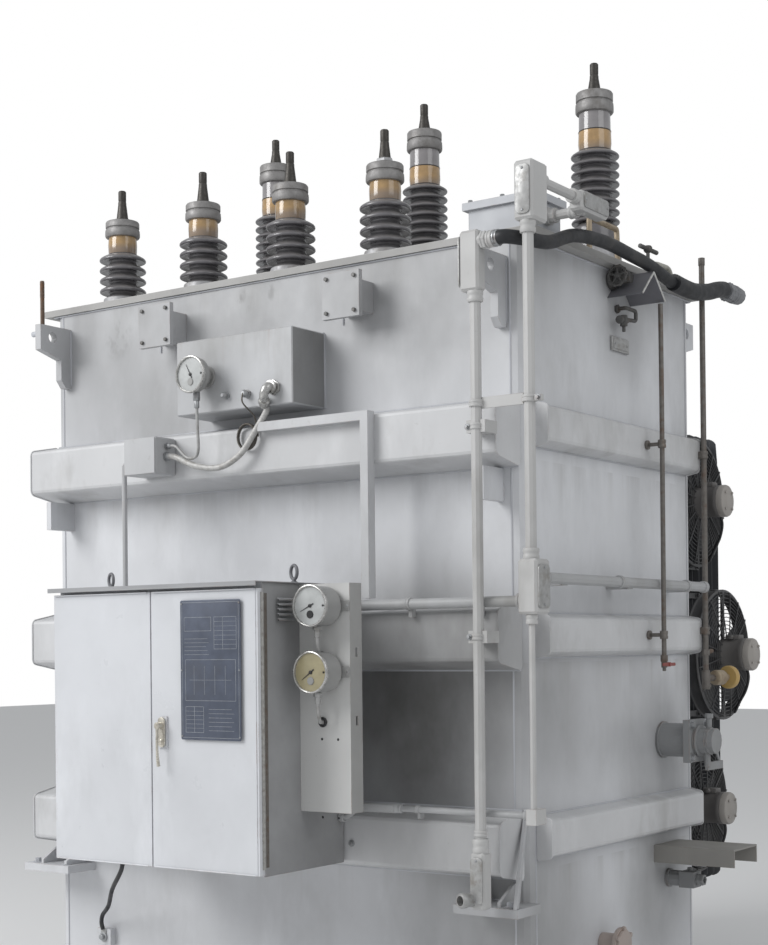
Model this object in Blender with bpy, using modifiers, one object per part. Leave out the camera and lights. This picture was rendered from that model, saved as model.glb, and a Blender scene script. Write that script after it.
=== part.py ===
"""Oil-filled power transformer with end-mounted pipework, a control cabinet and fan-cooled radiators.

Frame: metres, +Z up, X along the long front face, -Y towards the front, origin on the ground
under the centre of the tank.
"""
import math

import bmesh
import bpy
from mathutils import Matrix, Vector

# Clearance between neighbours, and the overlap that welds the pieces of one node
GAP = 0.0003
WELD = 0.004

# Tank, base and cover
TANK_L = 2.20
TANK_W = 1.32
WALL = 0.010
CORNER_R = 0.045
SKID_H = 0.13
SKID_W = 0.13
SKID_END_INSET = 0.10
SKID_SIDE_INSET = 0.09
BASE_T = 0.020
BASE_LIP = 0.020
TANK_TOP = 2.862
COVER_T = 0.025
COVER_FRONT_LIP = 0.013
COVER_END_LIP = 0.050

# Stiffening rails
RAIL_PLATE = 0.006
RAIL_FOLD_R = 0.012
FRONT_RAIL_OUT = 0.152
FRONT_RAIL_SPLAY = 0.030
FRONT_RAIL_INSET = 0.018
FRONT_RAIL_H = 0.168
FRONT_RAIL_SHIFT = 0.009
FRONT_RAIL_DROP = 0.567
FRONT_RAIL_FOOT = 0.6047
END_RAIL_OUT = 0.062
END_RAIL_SPLAY = 0.015
END_RAIL_INSET = 0.060
END_RAIL_H = 0.118
END_RAIL_SHIFT = -0.014
END_RAIL_DROP = 0.564
END_RAIL_FOOT = 0.6497

# Lugs, jacking pads and blind plates on the tank
LUG_T = 0.030
LUG_INSET = 0.075
LUG_DROP = 0.062
LUG_HEAD = 0.165
LUG_HEAD_H = 0.100
LUG_FOOT = 0.055
LUG_FOOT_H = 0.140
LUG_EYE_R = 0.022
LUG_EYE_OUT = 0.100
LUG_EYE_DROP = 0.045
PULL_LUG_T = 0.024
PULL_LUG_OUT = 0.130
PULL_LUG_H = 0.110
PULL_LUG_INSET = 0.090
PULL_LUG_DROP = 0.035
PAD_T = 0.030
PAD_OUT = 0.150
PAD_OVERHANG = 0.045
PAD_LAP = 0.200
PAD_DROP = 0.105
PAD_RIB_T = 0.012
PAD_RIB_H = 0.070
PAD_RIB_EDGE = 0.015
PAD_RIB_OUT = 0.130
PAD_RIB_INSET = 0.035
BLIND_X = 0.440
BLIND_W = 0.160
BLIND_T = 0.020
BLIND_NECK = 0.110
BLIND_OUT = 0.120
BLIND_DROP = 0.052
GROUND_PAD_X = 0.240
GROUND_PAD_Z = 0.180
GROUND_PAD_W = 0.070
GROUND_PAD_H = 0.065
GROUND_PAD_OUT = 0.030

# Bushings: rows, and the heights and radii of one short and one tall bushing
LV_COUNT = 4
LV_INSET = 0.210
LV_LEFT = 0.180
LV_RIGHT = 0.695
HV_COUNT = 3
HV_INSET = 0.510
HV_LEFT = 0.513
HV_RIGHT = 0.147
BUSHING_SIDES = 10
STUD_R = 0.016
FLANGE_T = 0.022
FLANGE_EDGE = 0.002
SHED_LIP = 0.60
SHED_ROOT = 0.80
LV_H = 0.507
LV_CAP_TOP = 0.398
LV_CAP_SLOPE = 0.016
LV_CAP_H = 0.080
LV_CAP_R = 0.071
LV_GLASS_R = 0.058
LV_SHEDS_TOP = 0.244
LV_SHED_PITCH = 0.034
LV_SHED_COUNT = 5
LV_CORE_R = 0.056
LV_SHED_R = 0.095
LV_COLLAR_R = 0.080
LV_COLLAR_TOP = 0.062
LV_FLANGE_R = 0.108
HV_H = 0.805
HV_CAP_TOP = 0.714
HV_CAP_SLOPE = 0.018
HV_CAP_H = 0.098
HV_CAP_R = 0.072
HV_GLASS_R = 0.061
HV_SHEDS_TOP = 0.470
HV_SHED_PITCH = 0.035
HV_SHED_COUNT = 8
HV_CORE_R = 0.058
HV_SHED_R = 0.091
HV_SMALL_SHED_R = 0.080
HV_NECK_R = 0.086
HV_NECK_TOP = 0.186
HV_COLLAR_R = 0.096
HV_COLLAR_TOP = 0.098
HV_FLANGE_R = 0.120

# Lidded box on the cover
TOP_BOX_W = 0.270
TOP_BOX_D = 0.170
TOP_BOX_H = 0.120
TOP_BOX_INSET = 0.100
TOP_BOX_LID_LIP = 0.015
TOP_BOX_LID_T = 0.022
SHEET_BEND = 0.004

# Control cabinet
CAB_W = 0.925
CAB_D = 0.460
CAB_FOOT = 0.005
CAB_HEAD = 0.097
CAB_SHEET = 0.004
CAB_STANDOFF = 0.010
CAB_RIM = 0.035
CAB_RIM_STEP = 0.002
HANGER_SIDE = 0.060
HANGER_INSET = 0.080
DOOR_T = 0.024
DOOR_SHEET = 0.004
DOOR_GAP = 0.005
DOOR_SPLIT = 0.006
DOOR_TOP_DROP = 0.020
DOOR_REVEAL = 0.006
HINGE_R = 0.005
HINGE_OUT = 0.004
HINGE_PLAY = 0.0005
HINGE_STRIP_T = 0.002
HINGE_LEAF_W = 0.016
ROOF_LIP = 0.012
ROOF_SHEET = 0.003
ROOF_REACH = 0.014
ROOF_HOOD = 0.020
CUT_PAST = 0.050

# Door lever and its plate
LEVER_X = 0.055
LEVER_TOP = 0.440
ESCUTCHEON_W = 0.040
ESCUTCHEON_H = 0.105
ESCUTCHEON_T = 0.006
LEVER_PLAY = 0.0005
LEVER_W = 0.020
LEVER_L = 0.155
LEVER_T = 0.014
LEVER_HUB_R = 0.014
LEVER_HUB_L = 0.0335
LEVER_HUB_DROP = 0.030
LEVER_TOP_DROP = 0.020
LEVER_BEND = 0.003

# Gauge panel and its two gauges
PANEL_W = 0.208
PANEL_SHEET = 0.004
PANEL_SET = 0.2357
PANEL_Z0 = 0.198
PANEL_TOP_DROP = 0.003
PANEL_FLANGE = 0.066
PANEL_FOOT = 0.040
SLOT_IN = 0.030
SLOT_W = 0.012
SLOT_H = 0.030
SLOT_DROPS = (0.242, 0.467)
GAUGE_X = 0.120
GAUGE_DROPS = (0.075, 0.291)
GAUGE_R = 0.066
GAUGE_L = 0.090
BEZEL_R = 0.070
BEZEL_T = 0.018
NIPPLE_R = 0.012
NIPPLE_SET = 0.060
NIPPLE_L = 0.050

# Instrument box on the tank, its dial gauge, and the junction box on the top rail
INSTRUMENT_X = -0.264
INSTRUMENT_W = 0.544
INSTRUMENT_D = 0.190
INSTRUMENT_H = 0.272
INSTRUMENT_DROP = 0.230
DIAL_X = 0.146
DIAL_Z = 0.130
DIAL_NECK_R = 0.045
DIAL_NECK_L = 0.080
DIAL_R = 0.068
DIAL_T = 0.023
DIAL_LAP = 0.008
DIAL_STEM_R = 0.010
DIAL_STEM_SET = 0.045
DIAL_STEM_FROM = 0.030
DIAL_STEM_L = 0.095
JUNCTION_W = 0.158
JUNCTION_D = 0.112
JUNCTION_H = 0.138
JUNCTION_Z = 0.020
JUNCTION_BEND = 0.006
DROP_R = 0.010
DROP_SET = 0.087
DROP_X = 0.0245
DROP_ROOM = 0.024
DROP_TURN = 0.010
DROP_FROM = 0.050
DROP_TO = 0.065

# Conduits
PIPE_R = 0.018
PIPE_SIDES = 3
PIPE_STANDOFF = 0.012
FITTING_BEND = 0.008
DUCT_X0 = 0.120
DUCT_X1 = 0.602
DUCT_D = 0.040
DUCT_H = 0.032
DUCT_LAP = 0.022
DUCT_END = 0.049
RISER_A_INSET = 0.045
RISER_A_OUT = 0.040
RISER_A_DROP = 0.027
RISER_A_HEAD_H = 0.195
RISER_A_FOOT_H = 0.185
RISER_A_FOOT_DROP = 0.100
FITTING_R = 0.026
COVER_SIDE = 0.045
UNION_R = 0.024
UNION_L = 0.075
UNION_DROP = 0.035
COUPLING_L = 0.040
CLAMP_W = 0.070
CLAMP_T = 0.006
CLAMP_H = 0.040
CLAMP_RISE = 0.060
RISER_B_OUT = 0.145
RISER_B_SET = 0.0577
RISER_B_HALF = 0.035
RISER_B_FRONT = 0.030
RISER_B_BACK = 0.060
RISER_B_BODY_H = 0.175
RISER_B_BODY_DROP = 0.019
RISER_B_TOP_Z = 0.0473
RISER_B_TOP_H = 0.188
RISER_B_TOP_BACK = 0.070
PIPE_LAP = 0.025
THIN_PIPE = 0.55
TEE_HALF = 0.018
TEE_H = 0.050
LOW_PIPE = 0.60
RETURN_PIPE = 0.90
RETURN_Z = 0.0977
RETURN_LAP = 0.040
RETURN_BODY_Y = 0.107
RETURN_BODY_L = 0.190
RETURN_BODY_HALF = 0.026
RETURN_BODY_H = 0.066
BRANCH_Y = 0.1665
BRANCH_Z = 0.067
BRANCH_NUT_R = 0.026
BRANCH_NUT_L = 0.040
FRONT_RUN_RISE = 0.026
RUN_FOOT_W = 0.060
RUN_FOOT_H = 0.075
RUN_FEET = (0.350, 0.080)
LOW_RUN_RISE = 0.037
LOW_FOOT_W = 0.050
LOW_FOOT_H = 0.065
LOW_FEET = (0.380, 0.100)
END_RUN_R = 0.019
END_RUN_OUT = 0.026
END_RUN_RISE = 0.128
END_RUN_FRONT = 0.070
END_FOOT_W = 0.040
END_FOOT_T = 0.016
END_FOOT_FRONT = 0.110
END_FOOT_BACK = 0.240
FLEX_R = 0.012
FLEX_IN = 0.130
FLEX_SET = 0.178
FLEX_STEP = 0.040

# Fittings on the right end
HOSE_R = 0.023
HOSE_OUT = 0.121
HOSE_STEP = 0.090
HOSE_END_IN = 0.070
HOSE_RISE = 0.038
HOSE_FITTING_R = 0.034
HOSE_FITTING_L = 0.130
HOOD_Y = 0.045
HOOD_DROP = 0.012
HOOD_HALF = 0.095
HOOD_H = 0.095
HOOD_L = 0.140
HOOD_SHEET = 0.006
PIPE_A_R = 0.009
PIPE_A_OUT = 0.037
PIPE_A_Y = 0.130
PIPE_A_DROP = 0.114
VALVE_A_DROP = 0.024
VALVE_A_H = 0.050
VALVE_A_W = 0.040
VALVE_A_D = 0.060
PIPE_B_R = 0.011
PIPE_B_OUT = 0.080
PIPE_B_IN = 0.060
PIPE_B_RISE = 0.150
TEE_B_DROP = 0.064
TEE_B_H = 0.090
TEE_B_W = 0.060
PIPE_FOOT_H = 0.024
PIPE_FOOT_DROP = 0.262
PIPE_FOOT_T = 0.020
FILTER_Y = 0.375
FILTER_DROP = 0.024
FILTER_NECK_R = 0.064
FILTER_NECK_L = 0.132
FILTER_FLANGE = 0.160
FILTER_FLANGE_T = 0.025
FILTER_BODY_R = 0.048
FILTER_BODY_L = 0.075
FILTER_STEM_R = 0.012
FILTER_STEM_OUT = 0.178
FILTER_STEM_L = 0.100
FILTER_LEVER_L = 0.140
FILTER_LEVER_T = 0.012
FILTER_LEVER_H = 0.030
CHANNEL_Y = 0.394
CHANNEL_W = 0.215
CHANNEL_H = 0.066
CHANNEL_L = 0.322
CHANNEL_T = 0.006
CHANNEL_DROP = 0.043
DRAIN_Y = 0.410
DRAIN_DROP = 0.180
DRAIN_R = 0.030
DRAIN_L = 0.090
DRAIN_BODY_W = 0.070
DRAIN_BODY_H = 0.060
DRAIN_BODY_OUT = 0.120

# Radiators
RAD_COUNT = 3
RAD_W = 0.52
RAD_SPACE = 0.065
RAD_END_INSET = 0.280
RAD_PANELS = 12
RAD_PANEL_T = 0.006
RAD_PANEL_PITCH = 0.070
RAD_CORNER = 0.050
RAD_FOOT = 0.2997
RAD_DROP = 0.432
RAD_STANDOFF = 0.130
HEADER_R = 0.042
HEADER_INSET = 0.060
HEADER_END = 0.012
HEADER_FLANGE = 0.013
HEADER_FLANGE_T = 0.030

# Fans
FAN_R = 0.270
FAN_BAND = 0.060
FAN_BAND_T = 0.010
FAN_SET = 0.290
FAN_LOW = 0.360
FAN_HIGH = 0.320
FAN_PITCH = 0.645
FAN_REACH = 0.060
FAN_STAGGER = 0.110
FAN_BAR = 0.020
FAN_BAR_T = 0.012
FAN_BAR_INSET = 0.005
FAN_MOTOR_R = 0.068
FAN_MOTOR_L = 0.155
MOUNT_L = 0.500
MOUNT_T = 0.008
MOUNT_H = 0.030
MOUNT_INSET = 0.010
LEG_W = 0.040
LEG_LAP = 0.020
ROTOR_PLAY = 0.0003
SHAFT_R = 0.012
SHAFT_L = 0.012
HUB_R = 0.045
HUB_L = 0.026
HUB_SET = 0.008
FAN_BLADES = 5
BLADE_W = 0.090
BLADE_T = 0.003
BLADE_ROOT = 0.030
BLADE_CLEAR = 0.020
BLADE_PITCH = 18

# Faces and levels that several pieces share
FRONT_Y = -TANK_W / 2
BACK_Y = TANK_W / 2
END_X = TANK_L / 2
TANK_Z0 = SKID_H + BASE_T + GAP
COVER_Z0 = TANK_TOP + GAP
COVER_TOP = COVER_Z0 + COVER_T
RAIL_FACE_Y = FRONT_Y - FRONT_RAIL_OUT - GAP
CAB_BACK_Y = RAIL_FACE_Y - CAB_STANDOFF
CAB_FRONT_Y = CAB_BACK_Y - CAB_D + DOOR_T + DOOR_GAP
DOOR_Y0 = CAB_FRONT_Y - DOOR_GAP - DOOR_T
HINGE_X = CAB_W / 2 + HINGE_OUT
HINGE_Y = CAB_FRONT_Y - DOOR_GAP / 2
RUN_Y = RAIL_FACE_Y - PIPE_R - PIPE_STANDOFF
RISER_A_X = END_X - RISER_A_INSET
RISER_A_Y = RUN_Y - RISER_A_OUT
RISER_B_X = END_X + RISER_B_OUT
END_RUN_X = END_X + END_RAIL_OUT + END_RUN_OUT
HOSE_X = END_X + HOSE_OUT
HOSE_Z = TANK_TOP + HOSE_RISE
HOSE_END_Y = BACK_Y + HOSE_END_IN
RAD_Z0 = TANK_Z0 + RAD_FOOT
RAD_Z1 = TANK_TOP - RAD_DROP
RAD_Y0 = BACK_Y + RAD_STANDOFF
RAD_EDGE_X = END_X - RAD_END_INSET
FAN_Y = RAD_Y0 + FAN_SET


def rail_levels(foot, drop, height, shift):
    """Lower and upper edges of the three rails: two at set heights and one about halfway."""
    bottom = TANK_Z0 + foot
    top = TANK_TOP - drop - height
    lows = {"top": top, "middle": (bottom + top) / 2 + shift, "bottom": bottom}
    return {level: (low, low + height) for level, low in lows.items()}


FRONT_RAILS = rail_levels(FRONT_RAIL_FOOT, FRONT_RAIL_DROP, FRONT_RAIL_H, FRONT_RAIL_SHIFT)
END_RAILS = rail_levels(END_RAIL_FOOT, END_RAIL_DROP, END_RAIL_H, END_RAIL_SHIFT)
CAB_Z0 = FRONT_RAILS["bottom"][0] + CAB_FOOT
CAB_TOP = FRONT_RAILS["middle"][1] + CAB_HEAD
FRONT_RUN_Z = FRONT_RAILS["middle"][1] + FRONT_RUN_RISE
LOW_RUN_Z = FRONT_RAILS["bottom"][1] + LOW_RUN_RISE
END_RUN_Z = END_RAILS["middle"][1] + END_RUN_RISE


MODEL = bpy.data.collections.new("power_transformer")
TOOLS = bpy.data.collections.new("cutters")


def reset_scene():
    """Empty the scene and add the two collections."""
    for old in list(bpy.data.objects):
        bpy.data.objects.remove(old, do_unlink=True)
    bpy.context.scene.collection.children.link(MODEL)
    bpy.context.scene.collection.children.link(TOOLS)


def paint(name, colour, roughness=0.5, metallic=0.0):
    """One Principled material."""
    material = bpy.data.materials.new(name)
    material.use_nodes = True
    shader = material.node_tree.nodes["Principled BSDF"]
    shader.inputs["Base Color"].default_value = (*colour, 1.0)
    shader.inputs["Roughness"].default_value = roughness
    shader.inputs["Metallic"].default_value = metallic
    return material


PAINT = paint("pale_grey_paint", (0.56, 0.58, 0.62), 0.45)
PORCELAIN = paint("grey_porcelain", (0.12, 0.13, 0.14), 0.25)
RADIATOR = paint("dark_grey_paint", (0.10, 0.10, 0.12), 0.55)
GALVANISED = paint("galvanised_steel", (0.35, 0.35, 0.36), 0.45, 0.8)
RUBBER = paint("black_rubber", (0.02, 0.02, 0.02), 0.6)


def add_object(name, mesh, material):
    """Link a mesh as an object of the model."""
    item = bpy.data.objects.new(name, mesh)
    mesh.materials.append(material)
    MODEL.objects.link(item)
    return item


def mesh_from(name, shape):
    """Turn a bmesh into a mesh with its faces pointing out."""
    bmesh.ops.recalc_face_normals(shape, faces=shape.faces)
    mesh = bpy.data.meshes.new(name)
    shape.to_mesh(mesh)
    shape.free()
    return mesh


def block(name, low, high, material=PAINT, bevel=0.0):
    """A box between two corners, its edges folded or cast round where a bevel is given."""
    low, high = Vector(low), Vector(high)
    shape = bmesh.new()
    bmesh.ops.create_cube(shape, size=1.0)
    bmesh.ops.scale(shape, vec=high - low, verts=shape.verts)
    item = add_object(name, mesh_from(name, shape), material)
    item.location = (low + high) / 2
    if bevel:
        edge = item.modifiers.new("rounded_edges", "BEVEL")
        edge.width = bevel
        edge.segments = 1
        edge.limit_method = "ANGLE"
    return item


def rod(name, start, end, radius, material=PAINT, sides=16):
    """A round bar between two points."""
    start, end = Vector(start), Vector(end)
    axis = end - start
    shape = bmesh.new()
    bmesh.ops.create_cone(shape, cap_ends=True, segments=sides, radius1=radius, radius2=radius,
                          depth=axis.length)
    item = add_object(name, mesh_from(name, shape), material)
    item.rotation_mode = "QUATERNION"
    item.rotation_quaternion = axis.to_track_quat("Z", "Y")
    item.location = (start + end) / 2
    return item


def prism(name, outline, thickness, plane, centre, material=PAINT):
    """A flat outline given thickness. plane is the two axes that its points lie along."""
    curve = bpy.data.curves.new(name, "CURVE")
    curve.dimensions = "2D"
    curve.fill_mode = "BOTH"
    curve.extrude = thickness / 2
    spline = curve.splines.new("POLY")
    spline.points.add(len(outline) - 1)
    for point, (u, v) in zip(spline.points, outline):
        point.co = (u, v, 0.0, 1.0)
    spline.use_cyclic_u = True
    turn = {"XZ": Matrix.Rotation(math.radians(90), 4, "X"),
            "YZ": Matrix(((0, 0, 1, 0), (1, 0, 0, 0), (0, 1, 0, 0), (0, 0, 0, 1)))}[plane]
    return mesh_of_curve(name, curve, Matrix.Translation(centre) @ turn, material)


def mesh_of_curve(name, curve, placing, material):
    """Make a curve a closed mesh object, with its caps welded."""
    source = bpy.data.objects.new(name + "_path", curve)
    source.matrix_world = placing
    MODEL.objects.link(source)
    bpy.context.view_layer.update()
    graph = bpy.context.evaluated_depsgraph_get()
    mesh = bpy.data.meshes.new_from_object(source.evaluated_get(graph))
    shape = bmesh.new()
    shape.from_mesh(mesh)
    bmesh.ops.remove_doubles(shape, verts=shape.verts, dist=0.00002)
    bmesh.ops.recalc_face_normals(shape, faces=shape.faces)
    shape.to_mesh(mesh)
    shape.free()
    mesh.name = name
    mesh.materials.clear()
    item = add_object(name, mesh, material)
    item.matrix_world = source.matrix_world.copy()
    bpy.data.objects.remove(source, do_unlink=True)
    return item


def smooth_route(points, step):
    """Points a step apart on a smooth curve through the route's own points."""
    points = [Vector(p) for p in points]
    ends = [2 * points[0] - points[1]] + points + [2 * points[-1] - points[-2]]
    route = []
    for a, b, c, d in zip(ends, ends[1:], ends[2:], ends[3:]):
        count = max(1, round((c - b).length / step))
        for i in range(count):
            t = i / count
            route.append(0.5 * ((2 * b) + (c - a) * t + (2 * a - 5 * b + 4 * c - d) * t * t
                                + (3 * b - a - 3 * c + d) * t * t * t))
    return route + [points[-1]]


def tube(name, points, radius, material=PAINT, resolution=PIPE_SIDES, step=None):
    """A round pipe along a route, straight between its points or smooth when a step is given."""
    route = smooth_route(points, step) if step else [Vector(p) for p in points]
    curve = bpy.data.curves.new(name, "CURVE")
    curve.dimensions = "3D"
    curve.bevel_depth = radius
    curve.bevel_resolution = resolution
    curve.use_fill_caps = True
    spline = curve.splines.new("POLY")
    spline.points.add(len(route) - 1)
    for point, place in zip(spline.points, route):
        point.co = (*place, 1.0)
    return mesh_of_curve(name, curve, Matrix.Identity(4), material)


def turned(name, profile, place, material=PORCELAIN, sides=BUSHING_SIDES):
    """A turned shape from (radius, height) points that run from the top down."""
    shape = bmesh.new()
    rings = [shape.verts.new((radius, 0.0, height)) for radius, height in profile]
    for upper, lower in zip(rings, rings[1:]):
        shape.edges.new((upper, lower))
    mesh = bpy.data.meshes.new(name)
    shape.to_mesh(mesh)
    shape.free()
    item = add_object(name, mesh, material)
    screw = item.modifiers.new("turned", "SCREW")
    screw.steps = sides
    screw.render_steps = sides
    screw.use_merge_vertices = True
    screw.merge_threshold = 0.0001
    item.location = place
    return item


def set_aside(item):
    """Keep a cutter or a joined piece out of the model."""
    MODEL.objects.unlink(item)
    TOOLS.objects.link(item)
    item.hide_render = True
    item.display_type = "WIRE"


def combine(item, others, operation):
    """Boolean the others into an object, one after another."""
    for other in others:
        step = item.modifiers.new(operation.lower() + "_" + other.name, "BOOLEAN")
        step.operation = operation
        step.solver = "EXACT"
        step.object = other
        set_aside(other)
    return item


def fuse(item, *others):
    """Join welded or bolted pieces of one node."""
    return combine(item, others, "UNION")


def cut(item, *others):
    """Take the others' shapes out of an object."""
    return combine(item, others, "DIFFERENCE")


def base_frame():
    """Bottom plate on three skids that run the length of the tank."""
    plate = block("base_frame", (-END_X - BASE_LIP, FRONT_Y - BASE_LIP, SKID_H),
                  (END_X + BASE_LIP, BACK_Y + BASE_LIP, SKID_H + BASE_T))
    skid_l = END_X - SKID_END_INSET
    skid_y = BACK_Y - SKID_SIDE_INSET
    skids = [block("skid_" + place, (-skid_l, y - SKID_W / 2, 0.0),
                   (skid_l, y + SKID_W / 2, SKID_H + BASE_T / 2))
             for place, y in (("front", -skid_y), ("centre", 0.0), ("back", skid_y))]
    return fuse(plate, *skids)


def side_outline(side, points):
    """Points given as (distance out of a long wall, height), turned to face front or back."""
    outline = [(side * (TANK_W / 2 + out), z) for out, z in points]
    return outline[::-1] if side < 0 else outline


def lifting_lug(name, x, side):
    """Flag-shaped lifting lug: a wide head with a shackle hole over a narrow foot."""
    top = TANK_TOP - LUG_DROP
    low = top - LUG_HEAD_H
    bottom = low - LUG_FOOT_H
    lug = prism(name, side_outline(side, [
        (-WELD, bottom), (LUG_FOOT - PULL_LUG_T, bottom), (LUG_FOOT, bottom + LUG_T),
        (LUG_FOOT, low - LUG_T), (LUG_HEAD, low), (LUG_HEAD, top), (-WELD, top)]),
        LUG_T, "YZ", (x, 0, 0))
    eye_y = side * (TANK_W / 2 + LUG_EYE_OUT)
    eye = rod(name + "_eye", (x - LUG_T, eye_y, top - LUG_EYE_DROP),
              (x + LUG_T, eye_y, top - LUG_EYE_DROP), LUG_EYE_R, sides=12)
    return cut(lug, eye)


def pulling_lug(name, x, side):
    """Small lug under the top rail."""
    wall = side * TANK_W / 2
    y_low, y_high = sorted((wall - side * WELD, wall + side * PULL_LUG_OUT))
    top = FRONT_RAILS["top"][0] - PULL_LUG_DROP
    return block(name, (x - PULL_LUG_T / 2, y_low, top - PULL_LUG_H), (x + PULL_LUG_T / 2, y_high, top))


def jack_pad(name, x_side, y_side):
    """Jacking plate on a corner with two upright ribs."""
    x_wall = x_side * END_X
    y_wall = y_side * TANK_W / 2
    x_pair = sorted((x_wall - x_side * PAD_LAP, x_wall + x_side * PAD_OVERHANG))
    y_pair = sorted((y_wall - y_side * WELD, y_wall + y_side * PAD_OUT))
    top = FRONT_RAILS["bottom"][0] - PAD_DROP
    plate = block(name, (x_pair[0], y_pair[0], top - PAD_T), (x_pair[1], y_pair[1], top))
    outline = side_outline(y_side, [
        (-WELD, top - WELD), (PAD_RIB_OUT, top - WELD), (PAD_RIB_OUT, top + PAD_RIB_EDGE),
        (PAD_T, top + PAD_RIB_H), (-WELD, top + PAD_RIB_H)])
    ribs = [prism("%s_rib_%d" % (name, k), outline, PAD_RIB_T, "YZ", (x_wall - x_side * inset, 0, 0))
            for k, inset in enumerate((PAD_RIB_INSET, PAD_LAP - PAD_RIB_INSET), 1)]
    return [plate] + ribs


def blind_plate(name, x):
    """Square blanking plate on a short neck, high on the front wall."""
    z = TANK_TOP - BLIND_DROP - BLIND_W / 2
    neck = block(name + "_neck", (x - BLIND_NECK / 2, FRONT_Y - BLIND_OUT + WELD, z - BLIND_NECK / 2),
                 (x + BLIND_NECK / 2, FRONT_Y + WELD, z + BLIND_NECK / 2))
    plate = block(name, (x - BLIND_W / 2, FRONT_Y - BLIND_OUT, z - BLIND_W / 2),
                  (x + BLIND_W / 2, FRONT_Y - BLIND_OUT + BLIND_T, z + BLIND_W / 2))
    return [neck, plate]


def tank_shell():
    """Open-ended steel tank with rounded corners, and the lugs and pads welded to it."""
    shape = bmesh.new()
    bmesh.ops.create_cube(shape, size=1.0)
    bmesh.ops.scale(shape, vec=(TANK_L, TANK_W, TANK_TOP - TANK_Z0), verts=shape.verts)
    ends = [face for face in shape.faces if abs(face.normal.z) > 0.5]
    bmesh.ops.delete(shape, geom=ends, context="FACES_ONLY")
    mesh = bpy.data.meshes.new("tank_shell")
    shape.to_mesh(mesh)
    shape.free()
    tank = add_object("tank_shell", mesh, PAINT)
    tank.location.z = (TANK_Z0 + TANK_TOP) / 2
    corner = tank.modifiers.new("rounded_corners", "BEVEL")
    corner.width = CORNER_R
    corner.segments = 3
    corner.limit_method = "ANGLE"
    plate = tank.modifiers.new("plate", "SOLIDIFY")
    plate.thickness = WALL
    plate.offset = -1.0
    lugs = []
    for x_name, x_side in (("left", -1), ("right", 1)):
        for y_name, y_side in (("front", -1), ("back", 1)):
            place = x_name + "_" + y_name
            lugs.append(lifting_lug("lifting_lug_" + place, x_side * (END_X - LUG_INSET), y_side))
            lugs.append(pulling_lug("pulling_lug_" + place, x_side * (END_X - PULL_LUG_INSET), y_side))
            lugs.extend(jack_pad("jack_pad_" + place, x_side, y_side))
        lugs.extend(blind_plate("blind_plate_" + x_name, x_side * BLIND_X))
    pad_x = -END_X + GROUND_PAD_X
    pad_z = TANK_Z0 + GROUND_PAD_Z
    lugs.append(block("ground_pad", (pad_x, FRONT_Y - GROUND_PAD_OUT, pad_z),
                      (pad_x + GROUND_PAD_W, FRONT_Y + WELD, pad_z + GROUND_PAD_H)))
    return fuse(tank, *lugs)


def top_cover():
    """Welded cover plate that overhangs the ends."""
    return block("top_cover", (-END_X - COVER_END_LIP, FRONT_Y - COVER_FRONT_LIP, COVER_Z0),
                 (END_X + COVER_END_LIP, BACK_Y + COVER_FRONT_LIP, COVER_TOP))


def rail(name, length, levels, out, splay, facing):
    """Stiffening rail: a pressed pan with splayed flanges and closed ends, open to the tank wall."""
    low, high = levels
    shape = bmesh.new()
    bmesh.ops.create_cube(shape, size=1.0)
    lean = RAIL_PLATE * splay / math.hypot(out, splay)
    for vert in shape.verts:
        at_wall = vert.co.y > 0
        half = (high - low) / 2 + (splay if at_wall else 0.0)
        vert.co = (math.copysign(length / 2, vert.co.x), -lean if at_wall else -out,
                   math.copysign(half, vert.co.z))
    wall_face = [face for face in shape.faces if face.calc_center_median().y > -lean - GAP]
    bmesh.ops.delete(shape, geom=wall_face, context="FACES_ONLY")
    folds = [edge for edge in shape.edges
             if all(vert.co.y < -out / 2 for vert in edge.verts)
             and abs((edge.verts[0].co - edge.verts[1].co).x) > length / 2]
    bmesh.ops.bevel(shape, geom=folds, offset=RAIL_FOLD_R, segments=2, affect="EDGES", profile=0.5)
    mesh = bpy.data.meshes.new(name)
    shape.to_mesh(mesh)
    shape.free()
    item = add_object(name, mesh, PAINT)
    plate = item.modifiers.new("plate", "SOLIDIFY")
    plate.thickness = RAIL_PLATE
    plate.offset = -1.0
    turn = {"front": 0, "right": 90, "back": 180, "left": -90}[facing]
    offset = (TANK_W if facing in ("front", "back") else TANK_L) / 2 + GAP
    placing = Matrix.Rotation(math.radians(turn), 4, "Z")
    middle = Vector((0, 0, (low + high) / 2))
    item.matrix_world = Matrix.Translation(placing @ Vector((0, -offset, 0)) + middle) @ placing
    return item


def rails():
    """Three rails on each side of the tank."""
    for level, levels in FRONT_RAILS.items():
        rail("front_rail_" + level, TANK_L - 2 * FRONT_RAIL_INSET, levels, FRONT_RAIL_OUT,
             FRONT_RAIL_SPLAY, "front")
    for level, levels in END_RAILS.items():
        for facing, length in (("right", TANK_W), ("left", TANK_W), ("back", TANK_L)):
            rail(facing + "_rail_" + level, length - 2 * END_RAIL_INSET, levels, END_RAIL_OUT,
                 END_RAIL_SPLAY, facing)


def shed_profile(top, count, pitch, core, wide, narrow):
    """Outline points of a stack of sheds of two widths by turns, from the top down."""
    points = []
    for i in range(count):
        z = top - i * pitch
        reach = narrow if i % 2 else wide
        points += [(core, z), (reach, z - pitch * SHED_LIP), (core, z - pitch * SHED_ROOT)]
    return points


def bushing_row(name, profile, count, left, right, y):
    """Equal bushings in a row that ends a set distance from each end of the tank."""
    first = -END_X + left
    pitch = (TANK_L - left - right) / (count - 1)
    for i in range(count):
        turned("%s_%d" % (name, i + 1), profile, (first + i * pitch, y, COVER_TOP + GAP))


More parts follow.
